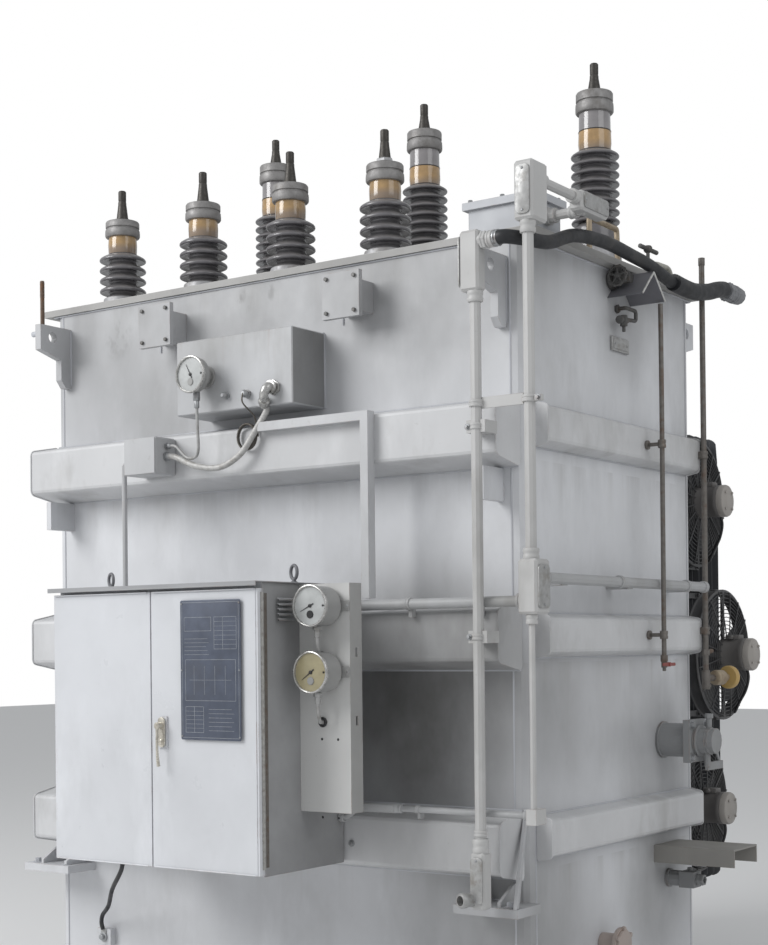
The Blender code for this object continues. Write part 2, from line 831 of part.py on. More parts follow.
def bushings():
    """Four short bushings along the front and three tall ones behind."""
    short = [(0.0, LV_H), (STUD_R, LV_H), (STUD_R, LV_CAP_TOP), (LV_CAP_R, LV_CAP_TOP - LV_CAP_SLOPE),
             (LV_CAP_R, LV_CAP_TOP - LV_CAP_H), (LV_GLASS_R, LV_CAP_TOP - LV_CAP_H - FLANGE_EDGE)]
    short += shed_profile(LV_SHEDS_TOP, LV_SHED_COUNT, LV_SHED_PITCH, LV_CORE_R, LV_SHED_R, LV_SHED_R)
    short += [(LV_COLLAR_R, LV_COLLAR_TOP), (LV_COLLAR_R, FLANGE_T + FLANGE_EDGE),
              (LV_FLANGE_R, FLANGE_T), (LV_FLANGE_R, 0.0), (0.0, 0.0)]
    bushing_row("lv_bushing", short, LV_COUNT, LV_LEFT, LV_RIGHT, FRONT_Y + LV_INSET)
    tall = [(0.0, HV_H), (STUD_R, HV_H), (STUD_R, HV_CAP_TOP), (HV_CAP_R, HV_CAP_TOP - HV_CAP_SLOPE),
            (HV_CAP_R, HV_CAP_TOP - HV_CAP_H), (HV_GLASS_R, HV_CAP_TOP - HV_CAP_H - FLANGE_EDGE)]
    tall += shed_profile(HV_SHEDS_TOP, HV_SHED_COUNT, HV_SHED_PITCH, HV_CORE_R, HV_SHED_R,
                         HV_SMALL_SHED_R)
    tall += [(HV_NECK_R, HV_NECK_TOP), (HV_COLLAR_R, HV_COLLAR_TOP),
             (HV_COLLAR_R, FLANGE_T + FLANGE_EDGE), (HV_FLANGE_R, FLANGE_T), (HV_FLANGE_R, 0.0),
             (0.0, 0.0)]
    bushing_row("hv_bushing", tall, HV_COUNT, HV_LEFT, HV_RIGHT, BACK_Y - HV_INSET)


def top_junction_box():
    """Lidded box on the cover's front right corner."""
    y0 = FRONT_Y + TOP_BOX_INSET
    body = block("top_junction_box", (END_X - TOP_BOX_W, y0, COVER_TOP + GAP),
                 (END_X, y0 + TOP_BOX_D, COVER_TOP + TOP_BOX_H), bevel=SHEET_BEND)
    lid = block("top_box_lid",
                (END_X - TOP_BOX_W - TOP_BOX_LID_LIP, y0 - TOP_BOX_LID_LIP, COVER_TOP + TOP_BOX_H - WELD),
                (END_X + TOP_BOX_LID_LIP, y0 + TOP_BOX_D + TOP_BOX_LID_LIP,
                 COVER_TOP + TOP_BOX_H + TOP_BOX_LID_T))
    return fuse(body, lid)


def cabinet():
    """Hollow cabinet hung on the front rails, its front closed by two doors."""
    half = CAB_W / 2
    shell = block("cabinet_shell", (-half, CAB_FRONT_Y, CAB_Z0), (half, CAB_BACK_Y, CAB_TOP))
    inside = block("cabinet_inside", (-half + CAB_SHEET, CAB_FRONT_Y - CUT_PAST, CAB_Z0 + CAB_SHEET),
                   (half - CAB_SHEET, CAB_BACK_Y - CAB_SHEET, CAB_TOP - CAB_SHEET))
    rim = block("cabinet_rim", (-half + CAB_RIM_STEP, CAB_FRONT_Y, CAB_Z0 + CAB_RIM_STEP),
                (half - CAB_RIM_STEP, CAB_FRONT_Y + CAB_SHEET, CAB_TOP - CAB_RIM_STEP))
    mouth = block("cabinet_mouth", (-half + CAB_RIM, CAB_FRONT_Y - CUT_PAST, CAB_Z0 + CAB_RIM),
                  (half - CAB_RIM, CAB_FRONT_Y + CUT_PAST, CAB_TOP - CAB_RIM))
    cut(shell, inside)
    fuse(shell, rim)
    cut(shell, mouth)
    fittings = []
    for x in (-half + HANGER_INSET, half - HANGER_INSET):
        for z in ((FRONT_RAILS[level][0] + FRONT_RAILS[level][1]) / 2 for level in ("bottom", "middle")):
            fittings.append(block("cabinet_hanger", (x - HANGER_SIDE / 2, CAB_BACK_Y - WELD / 2,
                                                     z - HANGER_SIDE / 2),
                                  (x + HANGER_SIDE / 2, RAIL_FACE_Y, z + HANGER_SIDE / 2)))
    for side in (-1, 1):
        leaf_x = sorted((side * (half - CAB_RIM_STEP), side * (half + CAB_RIM_STEP)))
        fittings.append(rod("hinge_knuckle", (side * HINGE_X, HINGE_Y, CAB_Z0 + DOOR_REVEAL),
                            (side * HINGE_X, HINGE_Y, CAB_TOP - DOOR_TOP_DROP), HINGE_R, sides=8))
        fittings.append(block("hinge_leaf", (leaf_x[0], HINGE_Y, CAB_Z0 + DOOR_REVEAL),
                              (leaf_x[1], CAB_FRONT_Y + HINGE_LEAF_W, CAB_TOP - DOOR_TOP_DROP)))
    fuse(shell, *fittings)
    roof = block("cabinet_roof", (-half - ROOF_REACH, DOOR_Y0 - ROOF_HOOD, CAB_TOP - ROOF_LIP),
                 (half + ROOF_REACH, CAB_BACK_Y, CAB_TOP + GAP + ROOF_SHEET))
    under = block("roof_underside", (-half - CUT_PAST, DOOR_Y0 - ROOF_HOOD + ROOF_SHEET,
                                     CAB_TOP - CUT_PAST),
                  (half + CUT_PAST, CAB_BACK_Y + CUT_PAST, CAB_TOP + GAP))
    cut(roof, under)


def door(name, side):
    """Pan-shaped cabinet door: a front sheet with turned-back edges, hung on its hinge by a folded strip."""
    x_low, x_high = sorted((side * DOOR_SPLIT / 2, side * (CAB_W / 2 - HINGE_OUT)))
    low = Vector((x_low, DOOR_Y0, CAB_Z0 + DOOR_REVEAL))
    high = Vector((x_high, DOOR_Y0 + DOOR_T, CAB_TOP - DOOR_TOP_DROP))
    leaf = block(name, low, high)
    sheet = Vector((DOOR_SHEET,) * 3)
    pocket = block(name + "_pocket", low + sheet, high - sheet + Vector((0, DOOR_T, 0)))
    strip_x = sorted((side * (CAB_W / 2 - HINGE_OUT - HINGE_STRIP_T), side * HINGE_X))
    strip = block(name + "_strip", (strip_x[0], DOOR_Y0 + HINGE_STRIP_T, low.z),
                  (strip_x[1], HINGE_Y - HINGE_R - HINGE_PLAY, high.z))
    cut(leaf, pocket)
    return fuse(leaf, strip)


def doors():
    """Two doors that meet in the middle, and the lever on the right one."""
    door("left_door", -1)
    leaf = door("right_door", 1)
    x, top = LEVER_X, CAB_TOP - LEVER_TOP
    face = DOOR_Y0 - ESCUTCHEON_T
    plate = block("door_escutcheon", (x - ESCUTCHEON_W / 2, face, top - ESCUTCHEON_H),
                  (x + ESCUTCHEON_W / 2, DOOR_Y0 + DOOR_SHEET / 2, top))
    fuse(leaf, plate)
    hub_z = top - LEVER_HUB_DROP
    hub_end = face - LEVER_PLAY - LEVER_HUB_L
    hub = rod("door_handle", (x, face - LEVER_PLAY, hub_z), (x, hub_end, hub_z), LEVER_HUB_R,
              GALVANISED, 12)
    lever_top = top - LEVER_TOP_DROP
    lever = block("door_lever", (x - LEVER_W / 2, hub_end - HINGE_STRIP_T, lever_top - LEVER_L),
                  (x + LEVER_W / 2, hub_end - HINGE_STRIP_T + LEVER_T, lever_top), bevel=LEVER_BEND)
    fuse(hub, lever)


def gauge_panel():
    """Folded plate on the cabinet's right side that carries two dial gauges."""
    x0 = CAB_W / 2 + GAP
    x1 = x0 + PANEL_W
    y = CAB_BACK_Y - PANEL_SET
    z0, z1 = CAB_Z0 + PANEL_Z0, CAB_TOP - PANEL_TOP_DROP
    face = block("gauge_panel", (x0, y, z0), (x1, y + PANEL_SHEET, z1))
    fold = block("gauge_panel_fold", (x1 - PANEL_SHEET, y + PANEL_SHEET / 2, z0),
                 (x1, y + PANEL_FLANGE, z1))
    foot = block("gauge_panel_foot", (x0, y + PANEL_SHEET / 2, z0),
                 (x0 + PANEL_SHEET, y + PANEL_FOOT, z1))
    fuse(face, fold, foot)
    slots = [block("panel_slot", (x1 - SLOT_H, y + SLOT_IN, z1 - drop),
                   (x1 + SLOT_H, y + SLOT_IN + SLOT_W, z1 - drop + SLOT_H))
             for drop in SLOT_DROPS]
    cut(face, *slots)
    for name, drop in zip(("gauge_upper", "gauge_lower"), GAUGE_DROPS):
        x, z = x0 + GAUGE_X, z1 - drop
        neck = y - GAUGE_L
        body = rod(name, (x, y - GAP, z), (x, neck, z), GAUGE_R, GALVANISED, 20)
        bezel = rod(name + "_bezel", (x, neck + WELD, z), (x, neck + WELD - BEZEL_T, z), BEZEL_R,
                    GALVANISED, 20)
        nipple = rod(name + "_nipple", (x, y - NIPPLE_SET, z - GAUGE_R + NIPPLE_R),
                     (x, y - NIPPLE_SET, z - GAUGE_R - NIPPLE_L + NIPPLE_R), NIPPLE_R, GALVANISED, 10)
        fuse(body, bezel, nipple)


def instruments():
    """Instrument box above the top rail with its dial gauge."""
    back = FRONT_Y - GAP
    z1 = TANK_TOP - INSTRUMENT_DROP
    z0 = z1 - INSTRUMENT_H
    face = back - INSTRUMENT_D
    block("instrument_box", (INSTRUMENT_X, face, z0), (INSTRUMENT_X + INSTRUMENT_W, back, z1),
          bevel=SHEET_BEND)
    x, z = INSTRUMENT_X + DIAL_X, z0 + DIAL_Z
    neck = face - DIAL_NECK_L
    dial = rod("dial_gauge", (x, face - GAP, z), (x, neck, z), DIAL_NECK_R, GALVANISED, 20)
    bezel = rod("dial_bezel", (x, neck + DIAL_LAP, z), (x, neck + DIAL_LAP - DIAL_T, z), DIAL_R,
                GALVANISED, 20)
    stem_y = face - DIAL_STEM_SET
    stem = rod("dial_stem", (x, stem_y, z - DIAL_STEM_FROM),
               (x, stem_y, z - DIAL_STEM_FROM - DIAL_STEM_L),
               DIAL_STEM_R, GALVANISED, 10)
    fuse(dial, bezel, stem)


def side_junction_box():
    """Small box on the top rail with a pipe down to the cabinet, and the flexible conduit to it."""
    pipe_x = -CAB_W / 2 - DROP_X
    x0 = pipe_x + DROP_ROOM
    z0 = FRONT_RAILS["top"][0] + JUNCTION_Z
    front = RAIL_FACE_Y - JUNCTION_D
    junction = block("side_junction_box", (x0, front, z0),
                     (x0 + JUNCTION_W, RAIL_FACE_Y - GAP, z0 + JUNCTION_H), bevel=JUNCTION_BEND)
    y, z, low = RAIL_FACE_Y - DROP_SET, z0 + DROP_FROM, CAB_TOP - DROP_TO
    drop = tube("junction_pipe", [
        (x0 + DROP_R, y, z), (pipe_x + DROP_TURN, y, z), (pipe_x, y, z - DROP_TURN),
        (pipe_x, y, low + DROP_TURN), (pipe_x + DROP_TURN, y, low), (-CAB_W / 2 - GAP, y, low)],
        DROP_R, resolution=2)
    fuse(junction, drop)
    start_x, start_z = INSTRUMENT_X + INSTRUMENT_W - FLEX_IN, TANK_TOP - INSTRUMENT_DROP - INSTRUMENT_H - GAP
    start_y = FRONT_Y - FLEX_SET
    end_x, end_z = x0 + JUNCTION_W + GAP, z0 + JUNCTION_H / 2
    clear_y = RAIL_FACE_Y - JUNCTION_D / 2
    span, fall = start_x - end_x, start_z - end_z
    bend = FLEX_R / 2
    tube("flexible_conduit", [
        (start_x, start_y, start_z), (start_x, start_y, start_z - FLEX_R),
        (start_x - bend, clear_y, start_z - fall * 0.30),
        (start_x - span * 0.04, clear_y - bend, start_z - fall * 0.62),
        (start_x - span * 0.21, clear_y - bend, end_z - FLEX_R),
        (start_x - span * 0.47, clear_y - bend, end_z - 5 * FLEX_R),
        (start_x - span * 0.73, clear_y, end_z - 4 * FLEX_R),
        (end_x + 3 * FLEX_R, clear_y, end_z - FLEX_R / 2),
        (end_x + FLEX_R, clear_y, end_z), (end_x, clear_y, end_z)], FLEX_R, GALVANISED, 2, FLEX_STEP)


def rail_clamp(name, x, half, y, z_low, z_high):
    """Block that holds a pipe to the face of a front rail."""
    return block(name, (x - half, y - CLAMP_T, z_low), (x + half, RAIL_FACE_Y - GAP, z_high))


def wire_duct():
    """Square duct along the top rail that turns down towards the cabinet's side."""
    z = FRONT_RAILS["top"][1]
    y0, y1 = RAIL_FACE_Y - DUCT_D, RAIL_FACE_Y - GAP
    duct = block("wire_duct", (DUCT_X0, y0, z - DUCT_LAP), (DUCT_X1, y1, z - DUCT_LAP + DUCT_H))
    drop = block("wire_duct_drop", (DUCT_X1 - DUCT_H, y0, FRONT_RAILS["middle"][1] + DUCT_END),
                 (DUCT_X1, y1, z))
    return fuse(duct, drop)


def riser_a():
    """Pipe up the front right corner, with a conduit body at each end and clamps on the rails."""
    x, y = RISER_A_X, RISER_A_Y
    head_top = TANK_TOP - RISER_A_DROP
    head_low = head_top - RISER_A_HEAD_H
    foot_low = FRONT_RAILS["bottom"][0] - RISER_A_FOOT_DROP
    foot_top = foot_low + RISER_A_FOOT_H
    pipe = tube("riser_a", [(x, y, foot_low + COVER_SIDE), (x, y, head_low + COVER_SIDE)], PIPE_R)
    head = block("riser_a_head", (x - COVER_SIDE, y - FITTING_R, head_low),
                 (x + FITTING_R, y + FITTING_R, head_top),
                 bevel=FITTING_BEND)
    union_z = head_top - UNION_DROP
    union = rod("riser_a_union", (x, y, union_z), (x + UNION_L, y, union_z), UNION_R, sides=12)
    coupling = rod("riser_a_coupling", (x, y, foot_top - WELD), (x, y, foot_top + COUPLING_L), UNION_R,
                   sides=12)
    foot = block("riser_a_foot", (x - FITTING_R, y - FITTING_R, foot_low),
                 (x + FITTING_R, y + FITTING_R, foot_top),
                 bevel=FITTING_BEND)
    clamps = [rail_clamp("riser_a_clamp_" + level, x, CLAMP_W / 2, y, FRONT_RAILS[level][0] + CLAMP_RISE,
                         FRONT_RAILS[level][0] + CLAMP_RISE + CLAMP_H) for level in ("middle", "top")]
    return fuse(pipe, head, union, coupling, foot, *clamps)


def riser_b():
    """Pipe outside the end face with conduit bodies, and the return pipes to the box on the cover."""
    x, y = RISER_B_X, RAIL_FACE_Y - RISER_B_SET
    body_low = FRONT_RAILS["middle"][1] - RISER_B_BODY_DROP
    body_top = body_low + RISER_B_BODY_H
    top_low = COVER_TOP - RISER_B_TOP_Z
    return_z = COVER_TOP + RETURN_Z
    body = block("riser_b", (x - RISER_B_HALF, y - RISER_B_FRONT, body_low),
                 (x + RISER_B_HALF, y + RISER_B_BACK, body_top), bevel=FITTING_BEND)
    upper = tube("riser_b_upper", [(x, y, body_top - PIPE_LAP), (x, y, top_low + PIPE_LAP)], PIPE_R)
    lower = tube("riser_b_lower", [(x, y, body_low + PIPE_LAP), (x, y, LOW_RUN_Z)], PIPE_R * THIN_PIPE)
    top = block("riser_b_top", (x - RISER_B_HALF, y - RISER_B_FRONT, top_low),
                (x + RISER_B_HALF, y + RISER_B_TOP_BACK, top_low + RISER_B_TOP_H), bevel=FITTING_BEND)
    tee = block("riser_b_tee", (x - TEE_HALF, y - TEE_HALF, LOW_RUN_Z - TEE_H / 2),
                (x + TEE_HALF, RUN_Y + TEE_HALF, LOW_RUN_Z + TEE_H / 2))
    far_y = FRONT_Y + RETURN_BODY_Y
    back_run = tube("return_conduit", [(x, y + RETURN_LAP, return_z), (x, far_y + RETURN_LAP, return_z)],
                    PIPE_R * RETURN_PIPE)
    elbow = block("return_body", (x - RETURN_BODY_HALF, far_y,
                                  COVER_TOP + RETURN_Z + UNION_R - RETURN_BODY_H),
                  (x + RETURN_BODY_HALF, far_y + RETURN_BODY_L, return_z + UNION_R), bevel=FITTING_BEND)
    branch_y, branch_z = FRONT_Y + BRANCH_Y, COVER_TOP + BRANCH_Z
    branch = tube("return_branch", [(x, branch_y, branch_z),
                                    (END_X + BRANCH_NUT_L / 2, branch_y, branch_z)],
                  PIPE_R * RETURN_PIPE)
    nut = rod("return_nut", (END_X + GAP, branch_y, branch_z), (END_X + BRANCH_NUT_L, branch_y, branch_z),
              BRANCH_NUT_R, sides=12)
    return fuse(body, upper, lower, top, tee, back_run, elbow, branch, nut)


def cross_runs():
    """Two conduits along the front and one along the end, on brackets."""
    side_x = CAB_W / 2 + GAP
    stop = RISER_B_X - RISER_B_HALF - GAP
    run = tube("front_conduit", [(side_x, RUN_Y, FRONT_RUN_Z), (stop, RUN_Y, FRONT_RUN_Z)], PIPE_R)
    fuse(run, *[rail_clamp("run_foot", END_X - inset, RUN_FOOT_W / 2, RUN_Y, FRONT_RUN_Z - RUN_FOOT_H,
                           FRONT_RUN_Z)
                for inset in RUN_FEET])
    low = tube("low_conduit", [(side_x, RUN_Y, LOW_RUN_Z),
                               (RISER_B_X - TEE_HALF - GAP, RUN_Y, LOW_RUN_Z)],
               PIPE_R * LOW_PIPE)
    fuse(low, *[rail_clamp("low_foot", END_X - inset, LOW_FOOT_W / 2, RUN_Y, LOW_RUN_Z - LOW_FOOT_H,
                           LOW_RUN_Z)
                for inset in LOW_FEET])
    start_y, end_y = FRONT_Y - END_RUN_FRONT, BACK_Y - PIPE_B_IN - COVER_T
    end = tube("end_conduit", [(END_RUN_X, start_y, END_RUN_Z), (END_RUN_X, end_y, END_RUN_Z)], END_RUN_R)
    foot_top = END_RUN_Z - END_RUN_R / 3
    first, last = FRONT_Y + END_FOOT_FRONT, BACK_Y - END_FOOT_BACK
    fuse(end, *[block("end_conduit_foot", (END_X + GAP, y - END_FOOT_W / 2, foot_top - END_FOOT_T),
                      (END_RUN_X, y + END_FOOT_W / 2, foot_top)) for y in (first, (first + last) / 2,
                                                                           last)])


def cable_hose():
    """Rubber hose from the front riser round the corner and along under the cover, and its end fitting."""
    x0, z0 = RISER_A_X + UNION_L + WELD / 6, TANK_TOP - RISER_A_DROP - UNION_DROP
    turn = HOSE_X - x0
    tube("cable_hose", [
        (x0, RISER_A_Y, z0), (x0 + turn * 0.3, RISER_A_Y, z0),
        (HOSE_X - turn * 0.07, FRONT_Y - 7 * HOSE_R, z0),
        (HOSE_X, FRONT_Y - 2 * HOSE_R, z0), (HOSE_X, FRONT_Y + 7 * HOSE_R, z0 + HOSE_R),
        (HOSE_X, FRONT_Y + 22 * HOSE_R, HOSE_Z - HOSE_R / 4),
        (HOSE_X, BACK_Y - 22 * HOSE_R, HOSE_Z - HOSE_R / 2),
        (HOSE_X, BACK_Y - 12 * HOSE_R, HOSE_Z - HOSE_R), (HOSE_X, BACK_Y, HOSE_Z - HOSE_R / 4),
        (HOSE_X, HOSE_END_Y - HOSE_R, HOSE_Z), (HOSE_X, HOSE_END_Y, HOSE_Z)], HOSE_R, RUBBER, 2,
        HOSE_STEP)
    rod("hose_fitting", (HOSE_X, HOSE_END_Y + GAP, HOSE_Z), (HOSE_X, HOSE_END_Y + HOSE_FITTING_L, HOSE_Z),
        HOSE_FITTING_R, GALVANISED, 12)


def angle_hood():
    """Bent sheet that shelters the end valves."""
    top, low = TANK_TOP - HOOD_DROP, TANK_TOP - HOOD_DROP - HOOD_H
    outline = [(HOOD_Y - HOOD_HALF, low), (HOOD_Y, top), (HOOD_Y + HOOD_HALF, low),
               (HOOD_Y + HOOD_HALF - HOOD_SHEET, low), (HOOD_Y, top - 2 * HOOD_SHEET),
               (HOOD_Y - HOOD_HALF + HOOD_SHEET, low)]
    outline.reverse()
    return prism("angle_hood", outline, HOOD_L, "YZ", (END_X + GAP + HOOD_L / 2, 0, 0))


def wall_foot(name, x, y, z):
    """Bracket from the end wall to a sampling pipe."""
    return block(name, (END_X + GAP, y - PIPE_FOOT_T / 2, z - PIPE_FOOT_H / 2),
                 (x, y + PIPE_FOOT_T / 2, z + PIPE_FOOT_H / 2))


def sampling_pipes():
    """Two thin pipes down the end wall, one to a small valve and one to a tee."""
    levels = (TANK_TOP - PIPE_FOOT_DROP, (END_RUN_Z + END_RAILS["top"][0]) / 2)
    x, y = END_RUN_X + PIPE_A_OUT, PIPE_A_Y
    valve_top = END_RAILS["middle"][0] - VALVE_A_DROP
    pipe = tube("sampling_pipe_a", [(x, y, TANK_TOP - PIPE_A_DROP), (x, y, valve_top - VALVE_A_H / 2)],
                PIPE_A_R)
    valve = block("pipe_a_valve", (x - VALVE_A_W / 2, y - VALVE_A_D / 2, valve_top - VALVE_A_H),
                  (x + VALVE_A_W / 2, y + VALVE_A_D / 2, valve_top))
    fuse(pipe, *[wall_foot("pipe_a_foot", x, y, z) for z in levels], valve)
    x, y = END_X + PIPE_B_OUT, BACK_Y - PIPE_B_IN
    tee_top = END_RAILS["middle"][0] - TEE_B_DROP
    pipe = tube("sampling_pipe_b", [(x, y, TANK_TOP + PIPE_B_RISE), (x, y, tee_top - TEE_B_H / 2)],
                PIPE_B_R)
    tee = block("pipe_b_tee", (x - TEE_B_W / 2, y - TEE_B_W / 3, tee_top - TEE_B_H),
                (x + TEE_B_W / 2, y + TEE_B_W * 2 / 3, tee_top))
    fuse(pipe, *[wall_foot("pipe_b_foot", x, y, z) for z in levels], tee)


def filter_valve():
    """Flanged valve on the end wall, with its lever."""
    x, y = END_X + GAP, FILTER_Y
    z = (END_RAILS["bottom"][1] + END_RAILS["middle"][0] - VALVE_A_DROP - VALVE_A_H) / 2 - FILTER_DROP
    half = FILTER_FLANGE / 2
    flange_x = x + FILTER_NECK_L + FILTER_FLANGE_T / 2
    neck = rod("filter_valve", (x, y, z), (x + FILTER_NECK_L, y, z), FILTER_NECK_R, sides=20)
    flange = block("filter_valve_flange", (flange_x - FILTER_FLANGE_T, y - half, z - half),
                   (flange_x, y + half, z + half))
    body = rod("filter_valve_body", (flange_x - WELD, y, z), (flange_x + FILTER_BODY_L, y, z),
               FILTER_BODY_R)
    stem_x = x + FILTER_STEM_OUT
    stem = rod("filter_valve_stem", (stem_x, y, z), (stem_x, y + FILTER_STEM_R, z - FILTER_STEM_L),
               FILTER_STEM_R, sides=10)
    lever = block("filter_valve_lever", (stem_x - FILTER_LEVER_T / 2, y,
                                         z - FILTER_STEM_L - FILTER_LEVER_T),
                  (stem_x + FILTER_LEVER_T / 2, y + FILTER_LEVER_L,
                   z - FILTER_STEM_L - FILTER_LEVER_T + FILTER_LEVER_H))
    return fuse(neck, flange, body, stem, lever)


def low_fittings():
    """Channel bracket that sticks out of the end wall, and the drain valve beside it."""
    x = END_X + GAP
    under = END_RAILS["bottom"][0] - END_RAIL_SPLAY
    y0, y1 = CHANNEL_Y - CHANNEL_W / 2, CHANNEL_Y + CHANNEL_W / 2
    top = under - CHANNEL_DROP
    low = top - CHANNEL_H
    bracket = block("channel_bracket", (x, y0, low), (x + CHANNEL_L, y0 + CHANNEL_T, top))
    web = block("channel_web", (x, y0 + CHANNEL_T / 2, top - CHANNEL_T),
                (x + CHANNEL_L, y1 - CHANNEL_T / 2, top))
    leg = block("channel_leg", (x, y1 - CHANNEL_T, low), (x + CHANNEL_L, y1, top))
    fuse(bracket, web, leg)
    y, z = DRAIN_Y, under - DRAIN_DROP
    drain = rod("drain_valve", (x, y, z), (x + DRAIN_L, y, z), DRAIN_R, sides=12)
    body = block("drain_valve_body", (x + DRAIN_BODY_OUT - DRAIN_BODY_H, y - DRAIN_BODY_W / 2,
                                      z - DRAIN_BODY_H / 2),
                 (x + DRAIN_BODY_OUT, y + DRAIN_BODY_W / 2, z + DRAIN_BODY_H / 2))
    fuse(drain, body)


def radiator(number):
    """A bank of flat panels on two header pipes."""
    x = RAD_EDGE_X - RAD_W / 2 - (number - 1) * (RAD_W + RAD_SPACE)
    name = "radiator_%d" % number
    half, mid, chamfer = RAD_W / 2, (RAD_Z1 - RAD_Z0) / 2, RAD_CORNER
    outline = [(half, mid - chamfer), (half - chamfer, mid), (-half + chamfer, mid),
               (-half, mid - chamfer),
               (-half, -mid + chamfer), (-half + chamfer, -mid), (half - chamfer, -mid),
               (half, -mid + chamfer)]
    panels = prism(name + "_panels", outline, RAD_PANEL_T, "XZ",
                   (x, RAD_Y0 + RAD_PANEL_T / 2, (RAD_Z0 + RAD_Z1) / 2), RADIATOR)
    rows = panels.modifiers.new("panels", "ARRAY")
    rows.count = RAD_PANELS
    rows.use_relative_offset = False
    rows.use_constant_offset = True
    rows.constant_offset_displace = (0, 0, -RAD_PANEL_PITCH)
    start = BACK_Y + GAP
    last = RAD_Y0 + (RAD_PANELS - 1) * RAD_PANEL_PITCH + HEADER_END
    z_top, z_low = RAD_Z1 - HEADER_INSET, RAD_Z0 + HEADER_INSET
    header = rod(name, (x, start, z_top), (x, last, z_top), HEADER_R, RADIATOR, 8)
    foot = rod(name + "_foot", (x, start, z_low), (x, last, z_low), HEADER_R, RADIATOR, 8)
    flanges = [rod(name + "_flange", (x, start, z), (x, BACK_Y + HEADER_FLANGE_T, z),
                   HEADER_R + HEADER_FLANGE, RADIATOR, 12)
               for z in (z_top, z_low)]
    return fuse(header, panels, foot, *flanges)


def fan(number, z, reach):
    """Fan ring on two mounting bars, with its motor held by a cross of bars, and the rotor in it."""
    x0 = RAD_EDGE_X + GAP
    ring_x = x0 + reach
    ring_end = ring_x + FAN_BAND
    name = "fan_%d" % number
    ring = rod(name, (ring_x, FAN_Y, z), (ring_end, FAN_Y, z), FAN_R, RADIATOR, 24)
    hole = rod(name + "_hole", (ring_x - FAN_BAND, FAN_Y, z), (ring_end + FAN_BAND, FAN_Y, z),
               FAN_R - FAN_BAND_T, RADIATOR, 24)
    cut(ring, hole)
    guard_x = ring_end - FAN_BAR_T
    span = FAN_R - FAN_BAR_INSET
    cross = [block(name + "_bar_y", (guard_x, FAN_Y - span, z - FAN_BAR / 2),
                   (ring_end, FAN_Y + span, z + FAN_BAR / 2), RADIATOR),
             block(name + "_bar_z", (guard_x, FAN_Y - FAN_BAR / 2, z - span),
                   (ring_end, FAN_Y + FAN_BAR / 2, z + span), RADIATOR)]
    motor_x = guard_x - FAN_BAR_T / 6
    motor = rod(name + "_motor", (motor_x, FAN_Y, z), (motor_x + FAN_MOTOR_L, FAN_Y, z), FAN_MOTOR_R,
                RADIATOR)
    mounts = []
    for side in (-1, 1):
        bar_z = z + side * (FAN_R - MOUNT_INSET)
        leg_z = sorted((z + side * (FAN_R - FAN_BAND_T), z + side * (FAN_R + FAN_BAR_INSET)))
        mounts.append(block(name + "_mount", (x0, FAN_Y - MOUNT_L / 2, bar_z - MOUNT_H / 2),
                            (x0 + MOUNT_T, FAN_Y + MOUNT_L / 2, bar_z + MOUNT_H / 2), RADIATOR))
        mounts.append(block(name + "_leg", (x0 + MOUNT_T / 2, FAN_Y - LEG_W / 2, leg_z[0]),
                            (ring_x + LEG_LAP, FAN_Y + LEG_W / 2, leg_z[1]), RADIATOR))
    fuse(ring, *cross, motor, *mounts)
    shaft_x = motor_x - ROTOR_PLAY
    rotor = rod("fan_rotor_%d" % number, (shaft_x, FAN_Y, z), (shaft_x - SHAFT_L, FAN_Y, z), SHAFT_R,
                GALVANISED, 10)
    hub_x = shaft_x - HUB_SET
    hub = rod("fan_hub_%d" % number, (hub_x, FAN_Y, z), (hub_x - HUB_L, FAN_Y, z), HUB_R, GALVANISED, 12)
    tip = FAN_R - FAN_BAND_T - BLADE_CLEAR
    blades = []
    for k in range(FAN_BLADES):
        blade = block("fan_blade", (-BLADE_T / 2, -BLADE_W / 2, BLADE_ROOT),
                      (BLADE_T / 2, BLADE_W / 2, tip), GALVANISED)
        blade.matrix_world = (Matrix.Translation((hub_x - HUB_L / 2, FAN_Y, z))
                              @ Matrix.Rotation(2 * math.pi * k / FAN_BLADES, 4, "X")
                              @ Matrix.Translation((0, 0, (BLADE_ROOT + tip) / 2))
                              @ Matrix.Rotation(math.radians(BLADE_PITCH), 4, "Z"))
        blades.append(blade)
    fuse(rotor, hub, *blades)


def fans():
    """As many fans as the radiator's height takes, every second one standing further out."""
    room = RAD_Z1 - RAD_Z0 - FAN_LOW - FAN_HIGH
    for i in range(1 + int(room / FAN_PITCH)):
        fan(i + 1, RAD_Z0 + FAN_LOW + i * FAN_PITCH, FAN_REACH + FAN_STAGGER * (i % 2))


def build():
    """Make every node."""
    reset_scene()
    base_frame()
    tank_shell()
    top_cover()
    rails()
    bushings()
    top_junction_box()
    cabinet()
    doors()
    gauge_panel()
    instruments()
    side_junction_box()
    wire_duct()
    riser_a()
    riser_b()
    cross_runs()
    cable_hose()
    angle_hood()
    sampling_pipes()
    filter_valve()
    low_fittings()
    for number in range(1, RAD_COUNT + 1):
        radiator(number)
    fans()


build()
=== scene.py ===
import math

import bpy
from mathutils import Matrix, Vector


